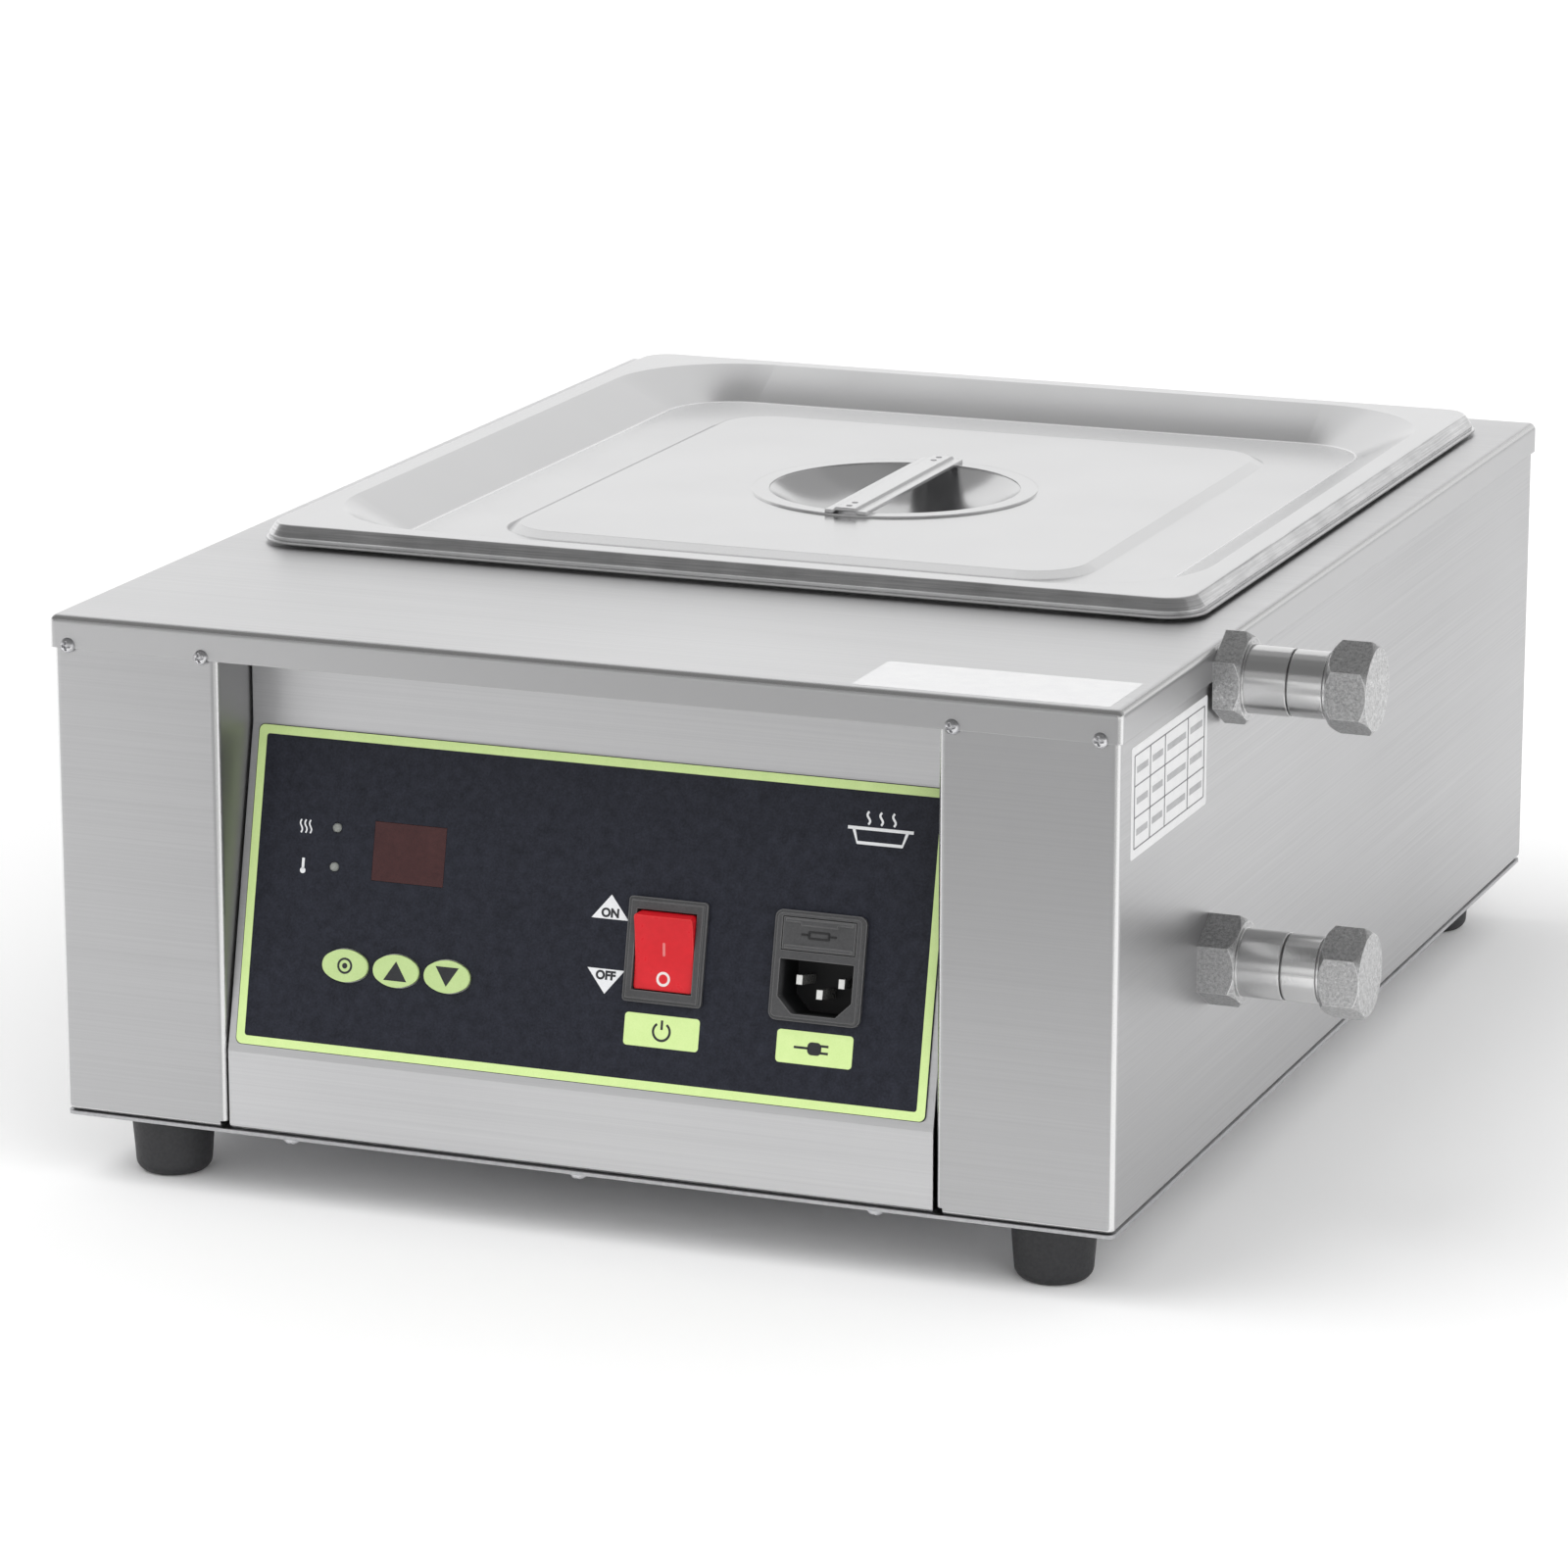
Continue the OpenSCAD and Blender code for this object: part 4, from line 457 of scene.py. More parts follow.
def stroke(name, face, path, width, x, s, finish, body="cabinet", thick=ink):
    """Flat line of even width along a path: four corners across it at each step, cut square at the ends."""
    along = np.gradient(path, axis=0)
    across = np.stack([-along[:, 1], along[:, 0]], axis=1) / np.hypot(along[:, :1], along[:, 1:])
    across = np.pad(across * width / 2, ((1, 1), (0, 0)))
    path = np.pad(path, ((1, 1), (0, 0)), mode="edge")
    side = np.array([-1, -1, 1, 1])
    lift = thick * np.array([0, 1, 1, 0])
    points = face(x + path[:, :1] + across[:, :1] * side, s - path[:, 1:] - across[:, 1:] * side, lift)
    grid_piece(name, points, finish, body)


def printed(name, light, dark):
    """Screen-printed ink: an even colour with a fine stipple."""
    return surface(name, light, dark, 0.42, 0.55, 2200, cloud=200, relief=0.000006, edge=0.00005)


def on_right_side(y, s, lift):
    """Point on the casing's right-hand wall: y to the back, s downwards, lift off the wall."""
    y, s, lift = np.broadcast_arrays(y, s, lift)
    return np.stack([casing_high.x + lift, y, -s], axis=-1)


def on_label(y, s, lift):
    """Point on the face of the rating label."""
    return on_right_side(rating_y + y, s - rating_z, lift + ink)


white_film = printed("white_film", (0.84, 0.84, 0.84), (0.77, 0.77, 0.78))
rule_grey = printed("rule_grey", (0.26, 0.26, 0.27), (0.18, 0.18, 0.19))
entry_grey = printed("entry_grey", (0.50, 0.50, 0.51), (0.36, 0.36, 0.37))
rating_w, rating_h, label_corner = 0.075, 0.0351, 0.001
rating_y, rating_z = -0.191, 0.15625
rating_margin, rule_w, upright_w, bar_h, bar_in = 0.003, 0.00045, 0.0008, 0.0021, 0.0022
row_shares, column_shares = np.array([0, 0.33, 0.67, 1]), np.array([0, 0.22, 0.43, 0.76, 1])
rule_y = np.array([-0.5, 0.5]) * rating_w + np.array([1, -1]) * rating_margin
rule_z = np.array([-0.5, 0.5]) * rating_h + np.array([1, -1]) * rating_margin
row_levels = rule_z[0] + row_shares * np.ptp(rule_z)
column_levels = rule_y[0] + column_shares * np.ptp(rule_y)
plate("rating_label", on_right_side, round_loop(rating_w, rating_h, label_corner), rating_y, -rating_z,
      white_film)
for number, level in enumerate(row_levels):
    rule = np.stack([rule_y, [level, level]], axis=1)
    stroke(f"rating_row_{number}", on_label, rule, rule_w, 0, 0, rule_grey)
for number, level in enumerate(column_levels):
    rule = np.stack([[level, level], rule_z], axis=1)
    stroke(f"rating_column_{number}", on_label, rule, upright_w, 0, 0, rule_grey)
for row, level in enumerate((row_levels[1:] + row_levels[:-1]) / 2):
    for column, (start, end) in enumerate(zip(column_levels[:-1] + bar_in, column_levels[1:] - bar_in)):
        entry = np.array([(start, level), (end, level)])
        stroke(f"rating_entry_{row}_{column}", on_label, entry, bar_h, 0, 0, entry_grey)

# Water tank: a welded stainless box hung under the top plate.
# Warm water has dulled it, and its rolling lines run level round the walls.
tank_steel = surface("tank_steel", (0.56, 0.56, 0.56), (0.42, 0.42, 0.425), 0.35, 0.55, (14, 14, 600),
                     cloud=10, metallic=1.0, relief=0.00001, edge=0.0004)
dress(tank_steel, "water_tank")

# Heating element: a steel tube bent in one loop, with a terminal pin at each end.
# Heat has browned it in clouds; its ends pass through the tank's wall.
heater_skin = surface("heater_skin", (0.34, 0.30, 0.26), (0.17, 0.145, 0.125), 0.4, 0.62, 160, cloud=22,
                      metallic=1.0, relief=0.00002, edge=0.0003)
dress(heater_skin, "heating_element")

# Temperature probe: a bright closed steel tube beside the heater.
# It is drawn smooth and passes through a gland of its own.
probe_steel = surface("probe_steel", (0.7, 0.7, 0.71), (0.58, 0.58, 0.59), 0.2, 0.32, (1800, 20, 1800),
                      cloud=40, metallic=1.0, relief=0.000006, edge=0.0002)
dress(probe_steel, "temperature_probe")

# Glands, nuts, standoffs, terminals and the earth stud: turned brass, a little dull.
# The glands and their nuts grip the tank's wall, and the standoffs carry the board.
turned_brass = surface("turned_brass", (0.72, 0.52, 0.22), (0.50, 0.34, 0.13), 0.25, 0.45, (900, 1800, 900),
                       cloud=60, metallic=1.0, relief=0.00001, edge=0.0003, edge_tint=(0.85, 0.66, 0.34))
dress(turned_brass, "wall_glands", "gland_nuts", "board_standoffs", "switch_terminals", "earth_stud",
      "earth_nut")

# Gland seals: red silicone rings, moulded soft and matt.
# They are clamped between the glands and the tank's wall.
seal_silicone = surface("seal_silicone", (0.52, 0.06, 0.04), (0.38, 0.035, 0.025), 0.45, 0.6, 700, cloud=60,
                        relief=0.00002, edge=0.0004)
dress(seal_silicone, "gland_seals")

# Thermal cut-out: a small cream ceramic switch, pressed from powder and fired.
# It sits against the tank's wall and opens the circuit when the tank runs dry.
ceramic = surface("ceramic", (0.78, 0.75, 0.68), (0.66, 0.63, 0.56), 0.35, 0.55, 500, cloud=60,
                  relief=0.00001, edge=0.0004)
dress(ceramic, "thermal_cutout")

# Pipes: stainless tube from the tank to the unions on the right-hand side.
# The skin is pickled, with soft clouds and no brush lines.
pipe_steel = surface("pipe_steel", (0.62, 0.61, 0.60), (0.46, 0.45, 0.44), 0.28, 0.45, 40, cloud=25,
                     metallic=1.0, relief=0.00001, edge=0.0003)
dress(pipe_steel, "drain_pipe", "overflow_pipe")

# Unions and caps: investment-cast stainless, turned where they are round.
# The hexagons keep the grain of the casting.
turned_r, turned_edge = 0.0112, 0.0006


def fitting_finish(name, low, high):
    """Cast steel whose rounds are turned bright: the cast grain starts beyond a radius about the axis."""
    made = surface(name, (0.70, 0.70, 0.70), (0.27, 0.27, 0.275), 0.24, 0.44, 2300, cloud=900, metallic=1.0,
                   relief=0.00003, edge=0.0006, edge_tint=(0.95, 0.95, 0.95))
    tree = made.node_tree
    aside = vector_step(tree, "SUBTRACT", shader_node(tree, "TexCoord").outputs["Object"], (low + high) / 2)
    radius = vector_step(tree, "LENGTH", vector_step(tree, "MULTIPLY", aside, (0, 1, 1)))
    turned = ramp(tree, radius, turned_r + turned_edge, turned_r)
    off_end = axis_mask(tree, "Normal", (1, 0, 0), 0.55, 0.45)
    overlay_values(made, number_step(tree, "MULTIPLY", turned, off_end), (0.74, 0.74, 0.74), 0.17)
    return made


for line in ("drain", "overflow"):
    dress(fitting_finish(line + "_fitting", *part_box(line + "_cap")), line + "_union", line + "_cap")

# Sealing washers: white fibre rings inside the caps.
# Each is punched from sheet and stays in its cap when that is unscrewed.
washer_fibre = surface("washer_fibre", (0.8, 0.8, 0.76), (0.66, 0.66, 0.62), 0.6, 0.8, 900, cloud=80,
                       relief=0.00003, edge=0.0003)
dress(washer_fibre, "drain_washer", "overflow_washer")

# Control board: green lacquered laminate that carries the small parts behind the panel.
# The transformer is a stack of iron sheets; the other parts have moulded plastic cases.
board_lacquer = surface("board_lacquer", (0.03, 0.20, 0.08), (0.015, 0.12, 0.045), 0.2, 0.35, 260, cloud=40,
                        relief=0.00002, edge=0.0003)
dress(board_lacquer, "control_board")
core_stack = surface("core_stack", (0.16, 0.15, 0.14), (0.07, 0.065, 0.06), 0.4, 0.6, (30, 2500, 30),
                     cloud=50, metallic=0.6, relief=0.00006, edge=0.0004)
dress(core_stack, "transformer")


def moulded_case(name, light, dark, smooth, rough, edge):
    """Even plastic with a faint mould grain."""
    return surface(name, light, dark, smooth, rough, 900, cloud=60, relief=0.00001, edge=edge)


dress(moulded_case("relay_case", (0.02, 0.10, 0.34), (0.012, 0.06, 0.24), 0.25, 0.4, 0.0005), "relay")
dress(moulded_case("terminal_case", (0.05, 0.30, 0.10), (0.03, 0.22, 0.07), 0.35, 0.5, 0.0004),
      "terminal_block")
dress(moulded_case("switch_case", (0.035, 0.035, 0.036), (0.018, 0.018, 0.019), 0.4, 0.55, 0.0003),
      "display_module", "key_switches")

# Control panel: folded satin sheet, with an upright strip above, a slope and an apron below.
# It stands between the posts, and its brush lines run across.
satin_panel = surface("satin_panel", (0.66, 0.66, 0.665), (0.59, 0.59, 0.60), 0.34, 0.48, (5, 900, 1700),
                      cloud=5, metallic=1.0, relief=0.000006, edge=0.0004, edge_tint=(0.8, 0.8, 0.8))
# The panel's bends are painted bright as highlights.
shine_bends(satin_panel)
dress(satin_panel, "control_panel")

# Overlay: printed matt film stuck on the slope, dark blue-grey with fine speckles.
# What is printed on it is placed by x across and s down the slope from the film's top edge.
overlay_film = surface("overlay_film", (0.023, 0.0255, 0.039), (0.0085, 0.0095, 0.0155), 0.5, 0.62, 1500,
                       cloud=300, relief=0.00003, edge=0.0002, Specular_IOR_Level=0.25)
dress(overlay_film, "panel_overlay")
panel_out = np.array(joints["fuse_drawer_slide"]["axis"])
panel_up = np.array([0.0, panel_out[2], -panel_out[1]])


def corners_of(mesh):
    """All corners of a mesh as rows of an array."""
    points = np.zeros(len(mesh.vertices) * 3, np.float32)
    mesh.vertices.foreach_get("co", points)
    return points.reshape(-1, 3).astype(float)


def span(name):
    """Where a node lies on the slope: centre x, centre s, width, height and how far it stands out."""
    points = corners_of(nodes[name].data)
    x, up, out = points[:, 0], points @ panel_up, points @ panel_out
    return ((x.min() + x.max()) / 2, slope_top - (up.min() + up.max()) / 2,
            x.max() - x.min(), up.max() - up.min(), out.max())


def on_film(x, s, lift):
    """Point on the overlay: x across, s down the slope from its top edge, lift off its face."""
    x, s, lift = np.broadcast_arrays(x, s, lift)
    return (x[..., None] * np.array([1.0, 0, 0]) + (slope_top - s)[..., None] * panel_up
            + (film_face + lift)[..., None] * panel_out)


slope_top = (corners_of(nodes["panel_overlay"].data) @ panel_up).max()
overlay_x, overlay_s, overlay_w, overlay_h, film_face = span("panel_overlay")


# Border: a lime band printed round the edge of the overlay.
# It is the same ink as the fields below the switch and the inlet.
def band(name, face, outer, inner, x, s, finish, body="cabinet", thick=ink):
    """Flat band on a face, between two outlines with the same number of points."""
    across = np.stack([outer[0], outer[0], inner[0], inner[0]])
    up = np.stack([outer[1], outer[1], inner[1], inner[1]])
    lift = thick * np.array([0, 1, 1, 0])[:, None]
    grid_piece(name, face(x + across, s - up, lift), finish, body, ring=True)


lime_ink = printed("lime_ink", (0.71, 0.89, 0.38), (0.63, 0.83, 0.32))
border_w, border_edge, overlay_corner, inner_corner = 0.003, 0.0002, 0.002, 0.001
band("overlay_border", on_film,
     round_loop(overlay_w - 2 * border_edge, overlay_h - 2 * border_edge, overlay_corner),
     round_loop(overlay_w - 2 * border_w, overlay_h - 2 * border_w, inner_corner),
     overlay_x, overlay_s, lime_ink)

# Display window: dark red moulded plastic, flush with the film.
# It covers the figures of the display module, which are unlit.
display_red = surface("display_red", (0.062, 0.020, 0.020), (0.040, 0.012, 0.013), 0.22, 0.34, 700,
                      cloud=120, relief=0.00001, edge=0.0002, Specular_IOR_Level=0.3)
dress(display_red, "display_window")

# Indicator lamps: small clear plastic lenses, pushed through the film from behind.
# They are unlit, so they look pale grey.
lamp_lens = surface("lamp_lens", (0.62, 0.64, 0.60), (0.42, 0.44, 0.42), 0.1, 0.2, 700, cloud=200,
                    edge=0.0002, Transmission_Weight=0.5, IOR=1.5)
dress(lamp_lens, "indicator_lamps")

# Keys: oval lime caps of plastic that dip behind the film when pressed.
# Each bears a plain black sign, printed on its face: a ring, or an arrow up or down.
key_lime = printed("key_lime", (0.55, 0.71, 0.31), (0.48, 0.64, 0.26))
black_ink = printed("black_ink", (0.025, 0.026, 0.03), (0.014, 0.015, 0.018))
dress(key_lime, "set_key", "up_key", "down_key")
arrow_half, arrow_rise = 0.004, 0.0031
ring_d, ring_hole_d, dot_d = 0.0052, 0.0038, 0.0018


def corner_loop(corners, per_side=6):
    """Straight-sided outline: points spread evenly along each side from corner to corner."""
    start = np.array(corners, float)
    end = np.roll(start, -1, axis=0)
    part = np.linspace(0, 1, per_side, endpoint=False)[None, :, None]
    loop = (start[:, None] * (1 - part) + end[:, None] * part).reshape(-1, 2)
    return loop[:, 0], loop[:, 1]


def circle(diameter):
    """Round outline about the middle: a rounded square that is all corner."""
    return round_loop(diameter, diameter, diameter / 2)


def on_key(name):
    """Places points on a key's face, whose level differs from the film's."""
    step = span(name)[4] - film_face
    return lambda x, s, lift: on_film(x, s, lift + step)


for key_name, tip in (("up_key", arrow_rise), ("down_key", -arrow_rise)):
    key_x, key_s = span(key_name)[:2]
    arrow = corner_loop([(-arrow_half, -tip), (arrow_half, -tip), (0, tip)])
    plate(key_name + "_arrow", on_key(key_name), arrow, key_x, key_s, black_ink, key_name)
key_x, key_s = span("set_key")[:2]
band("set_key_ring", on_key("set_key"), circle(ring_d), circle(ring_hole_d), key_x, key_s, black_ink,
     "set_key")
plate("set_key_dot", on_key("set_key"), circle(dot_d), key_x, key_s, black_ink, "set_key")


# Switch signs: white triangles printed beside the rocker, one up and one down.
# The words ON and OFF are printed over them in black.
def lettering(name, words, height, x, s, finish):
    """Plain switch words as a thin flat mesh on one layer of ink, centred on a point of the overlay."""
    curve = bpy.data.curves.new(name, "FONT")
    curve.body = words
    curve.size = height
    curve.align_x = "CENTER"
    curve.align_y = "CENTER"
    curve.extrude = ink / 2
    curve.offset = height / 22
    text = bpy.data.objects.new(name, curve)
    scene.collection.objects.link(text)
    bpy.context.view_layer.update()
    mesh = bpy.data.meshes.new_from_object(text.evaluated_get(bpy.context.evaluated_depsgraph_get()))
    bpy.data.objects.remove(text)
    points = corners_of(mesh)
    placed = on_film(x + points[:, 0], s - points[:, 1], ink + ink / 2 + points[:, 2])
    mesh.vertices.foreach_set("co", placed.astype(np.float32).ravel())
    mesh.materials.clear()
    hang(name, mesh, finish, "cabinet")


white_ink = printed("white_ink", (0.86, 0.87, 0.88), (0.76, 0.77, 0.79))
sign_half, sign_rise, on_foot = 0.0063, 0.0039, 0.0038
sign_x, on_s, off_s = 0.0082, 0.0469, 0.0703
word_h, on_word_drop, off_word_rise = 0.0038, 0.0020, 0.0018
on_corners = [(-sign_half, -on_foot), (sign_half, -on_foot), (0, sign_rise)]
off_corners = [(-sign_half, sign_rise), (sign_half, sign_rise), (0, -sign_rise)]
plate("on_sign", on_film, corner_loop(on_corners), sign_x, on_s, white_ink)
plate("off_sign", on_film, corner_loop(off_corners), sign_x, off_s, white_ink)
lettering("on_word", "ON", word_h, sign_x, on_s + on_word_drop, black_ink)
lettering("off_word", "OFF", word_h, sign_x, off_s - off_word_rise, black_ink)

# Sign fields: lime fields printed below the switch and the inlet.
# One bears a plain on-off sign, the other a plug with two prongs, in black.
field_w, field_h, field_r = 0.0252, 0.0103, 0.0012
switch_field_x, inlet_field_x, field_s = 0.0284, 0.0795, 0.0841
plate("switch_plate", on_film, round_loop(field_w, field_h, field_r), switch_field_x, field_s, lime_ink)
plate("inlet_plate", on_film, round_loop(field_w, field_h, field_r), inlet_field_x, field_s, lime_ink)


def on_print(x, s, lift):
    """Point on top of one layer of ink on the overlay."""
    return on_film(x, s, lift + ink)


def field_line(name, path, x):
    """Black line on one of the lime fields."""
    stroke(name, on_print, np.array(path), sign_line, x, field_s, black_ink)


sign_line = 0.00075
ring_r, ring_start, ring_end, bar_low, bar_high = 0.0028, 125, 415, 0.0006, 0.0036
ring_turn = np.radians(np.linspace(ring_start, ring_end, 40))
field_line("switch_ring", ring_r * np.stack([np.cos(ring_turn), np.sin(ring_turn)], axis=1), switch_field_x)
field_line("switch_bar", [(0, bar_low), (0, bar_high)], switch_field_x)
plug_w, plug_h, plug_r = 0.0046, 0.004, 0.0014
prong_y, prong_start, prong_end, lead_start, lead_end = 0.0011, 0.0021, 0.0046, -0.0068, -0.002
plate("plug_body", on_print, round_loop(plug_w, plug_h, plug_r), inlet_field_x, field_s, black_ink)
for number, level in enumerate((-prong_y, prong_y)):
    field_line(f"plug_prong_{number}", [(prong_start, level), (prong_end, level)], inlet_field_x)
field_line("plug_lead", [(lead_start, 0), (lead_end, 0)], inlet_field_x)


# Lamp signs: heat waves beside the upper lamp and a thermometer beside the lower one.
# Both are printed on the film in white.
def heat_waves(name, x, s, sway, pitch, low, high, line):
    """Three upright waves side by side: each sways as a sine, once over its height."""
    turn = np.linspace(0, 2 * np.pi, 24)
    up = np.linspace(low, high, turn.size)
    for number in range(3):
        path = np.stack([sway * np.sin(turn) + pitch * (number - 1), up], axis=1)
        stroke(f"{name}_{number}", on_film, path, line, x, s, white_ink)


lamp_sign_x, heat_s, thermal_s = -0.0985, 0.0314, 0.0439
stem_foot, stem_top, stem_w, bulb_d, bulb_drop = -0.0012, 0.0024, 0.0009, 0.0019, 0.0016
heat_waves("heat_wave", lamp_sign_x, heat_s, sway=0.0004, pitch=0.0016, low=-0.0021, high=0.0021,
           line=0.0005)
stroke("thermometer_stem", on_film, np.array([(0, stem_foot), (0, stem_top)]), stem_w, lamp_sign_x,
       thermal_s, white_ink)
plate("thermometer_bulb", on_film, circle(bulb_d), lamp_sign_x, thermal_s + bulb_drop, white_ink)

# Panel sign: a plain pan with three waves of heat above it.
# It is printed on the film in white, at the upper right.
pan_sign_x, pan_sign_s, pan_line = 0.0955, 0.0165, 0.001
brim_half, foot_half, brim_up, foot_up = 0.0088, 0.0074, 0.0016, -0.0026
rim_half, rim_up = 0.0108, 0.0019
pan_outline = [(-brim_half, brim_up), (-foot_half, foot_up), (foot_half, foot_up), (brim_half, brim_up)]
stroke("pan_sign", on_film, np.array(pan_outline), pan_line, pan_sign_x, pan_sign_s, white_ink)
pan_rim = [(-rim_half, rim_up), (rim_half, rim_up)]
stroke("pan_sign_rim", on_film, np.array(pan_rim), pan_line, pan_sign_x, pan_sign_s, white_ink)
heat_waves("pan_sign_wave", pan_sign_x, pan_sign_s, sway=0.0005, pitch=0.0042, low=0.0032, high=0.0072,
           line=0.0007)


# Switch: a moulded dark frame snapped into the panel, with a glossy red rocker on two pins.
# The rocker's face is hollow, and its two marks are printed in the hollow, the upper one worn.
def moulded_plastic(name):
    """Dark plastic with a fine mould grain and edges painted lighter as highlights."""
    return surface(name, (0.070, 0.070, 0.073), (0.045, 0.045, 0.047), 0.35, 0.5, 1400, cloud=90,
                   relief=0.00002, edge=0.0007, edge_tint=(0.17, 0.17, 0.172))


frame_plastic = moulded_plastic("frame_plastic")
dress(frame_plastic, "switch_housing")
rocker_red = surface("rocker_red", (0.74, 0.013, 0.023), (0.65, 0.009, 0.016), 0.25, 0.35, 500, cloud=70,
                     relief=0.000008, edge=0.0006, edge_tint=(0.88, 0.06, 0.06), Specular_IOR_Level=0.35)
dress(rocker_red, "rocker")
rocker_joint = joints["power_rocker"]
pivot = np.array(rocker_joint["pos_m"])
rock = math.radians(rocker_joint["range_deg"][1] / 2)
rocker_up = panel_up * math.cos(rock) + panel_out * math.sin(rock)
rocker_out = panel_out * math.cos(rock) - panel_up * math.sin(rock)
rocker_mid, rocker_end, rocker_dish = 0.0022, 0.0124, 0.0014
dish_r = (rocker_end ** 2 + rocker_dish ** 2) / (2 * rocker_dish)


def on_rocker(x, s, lift):
    """Point on the rocker's hollow face: x across, s down from its pivot, lift off the round hollow."""
    x, s, lift = np.broadcast_arrays(x, s, lift)
    out = rocker_mid + dish_r - np.sqrt(dish_r ** 2 - s ** 2) + lift
    return (pivot + x[..., None] * np.array([1.0, 0, 0]) - s[..., None] * rocker_up
            + out[..., None] * rocker_out)


mark_ink = printed("mark_ink", (0.88, 0.82, 0.80), (0.80, 0.72, 0.70))
worn_ink = printed("worn_ink", (0.82, 0.24, 0.23), (0.76, 0.17, 0.17))
off_mark_d, off_hole_d, off_mark_s = 0.0046, 0.0030, 0.0082
on_mark_w, on_mark_h, on_mark_r, on_mark_s = 0.0009, 0.0044, 0.0004, -0.0012
band("rocker_off_mark", on_rocker, circle(off_mark_d), circle(off_hole_d), 0, off_mark_s, mark_ink,
     "rocker")
plate("rocker_on_mark", on_rocker, round_loop(on_mark_w, on_mark_h, on_mark_r), 0, on_mark_s, worn_ink,
      "rocker")

# Mains inlet: a moulded dark frame snapped into the panel, with plated pins and a drawer for the fuse.
# The well round the pins is painted near-black as deep shade; the pins' sides are painted dark as shade and
# their ends bright as highlights.
dress(frame_plastic, "fuse_drawer")
well_depth = 0.003
inlet_plastic = moulded_plastic("inlet_plastic")
# The well round the pins is painted near-black as shade.
in_well = axis_mask(inlet_plastic.node_tree, "Object", panel_out, film_face, film_face - well_depth)
overlay_values(inlet_plastic, in_well, (0.009, 0.009, 0.010), 0.6)
dress(inlet_plastic, "inlet_housing")
pin_nickel = surface("pin_nickel", (0.30, 0.30, 0.29), (0.20, 0.20, 0.19), 0.2, 0.34, 900, cloud=90,
                     metallic=0.55, relief=0.000006, edge=0.0003)
# The pins' sides are painted dark as shade, and their ends bright as highlights.
pin_end = axis_mask(pin_nickel.node_tree, "Normal", panel_out, 0.6, 0.9)
overlay_values(pin_nickel, pin_end, (0.88, 0.88, 0.86), 0.3)
dress(pin_nickel, "inlet_pins")
fuse_glass = surface("fuse_glass", (0.8, 0.84, 0.84), (0.7, 0.74, 0.74), 0.05, 0.12, 300, cloud=60,
                     edge=0.0002, Transmission_Weight=0.8, IOR=1.5)
dress(fuse_glass, "fuse")

# Fuse sign: a small cartridge in raised lines on the drawer's front.
# It is moulded in one with the drawer and stands lower than the ribs.
drawer_x, drawer_s, _, _, drawer_out = span("fuse_drawer")
rib_h, moulded_h = 0.0005, 0.00025


def on_drawer(x, s, lift):
    """Point on the flat front of the fuse drawer, below its ribs."""
    return on_film(x, s, lift + drawer_out - rib_h - film_face)


# The sign is painted darker than the drawer round it, as shade that brings out its raised lines.
sign_plastic = surface("sign_plastic", (0.018, 0.018, 0.019), (0.010, 0.010, 0.011), 0.4, 0.55, 1400,
                       cloud=90, relief=0.00002, edge=0.0002)
fuse_w, fuse_h, fuse_r, fuse_line = 0.0072, 0.0026, 0.0006, 0.0006
fuse_hole_r, fuse_end_start, fuse_end_stop = 0.0003, 0.0034, 0.0058
band("fuse_sign", on_drawer, round_loop(fuse_w, fuse_h, fuse_r),
     round_loop(fuse_w - 2 * fuse_line, fuse_h - 2 * fuse_line, fuse_hole_r), drawer_x, drawer_s,
     sign_plastic, "fuse_drawer", moulded_h)
for side in (-1, 1):
    fuse_end = np.array([(side * fuse_end_start, 0), (side * fuse_end_stop, 0)])
    stroke(f"fuse_sign_end_{side}", on_drawer, fuse_end, fuse_line, drawer_x, drawer_s, sign_plastic,
           "fuse_drawer", moulded_h)

# Top plate: satin sheet with lips folded down all round and a turned-up collar round the opening.
# The lips are painted darker than the top as shade, and the bends are painted bright as highlights.
satin_top = surface("satin_top", (0.81, 0.81, 0.815), (0.75, 0.75, 0.755), 0.34, 0.48, (6, 1500, 1500),
                    cloud=4, metallic=1.0, relief=0.000006, edge=0.0005, edge_tint=(0.82, 0.82, 0.82))
# Faces that do not face up are painted darker as shade.
on_lip = axis_mask(satin_top.node_tree, "Normal", (0, 0, 1), 0.7, 0.3)
overlay_values(satin_top, on_lip, (0.52, 0.52, 0.525), 0.4)
shine_bends(satin_top)
dress(satin_top, "top_plate")

# Lip screws: plated cross-head screws that fix the top plate's lip to the casing.
# There are two pairs at the front and two at the back.
top_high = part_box("top_plate")[1]
collar_h, lip_drop = 0.0012, 0.0095
top_face = top_high.z - collar_h
lip_x = (0.173, 0.1259)
lip_head_w, lip_head_h = 0.005, 0.002
lip_turns = [(side * x, end) for x in lip_x for side in (-1, 1) for end in (-1, 1)]
lip_places = [(x, end * top_high.y, top_face - lip_drop) for x, end in lip_turns]
lip_heads = screw_heads("lip_screw_heads", lip_places, [(0, end, 0) for x, end in lip_turns],
                        [(0, 0, 1)] * len(lip_turns), lip_head_w, lip_head_h)
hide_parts("lip_screws")

# Top label: a blank white sticker on the front edge of the top plate.
# It is the same printed film as the rating label.
label_w, label_d, label_x, label_y = 0.0825, 0.0325, 0.1333, -0.2208


def on_top(x, s, lift):
    """Point on the top plate: x across, s towards the front, lift above its face."""
    x, s, lift = np.broadcast_arrays(x, s, lift)
    return np.stack([x, -s, top_face + lift], axis=-1)


plate("top_label", on_top, round_loop(label_w, label_d, label_corner), label_x, -label_y, white_film)


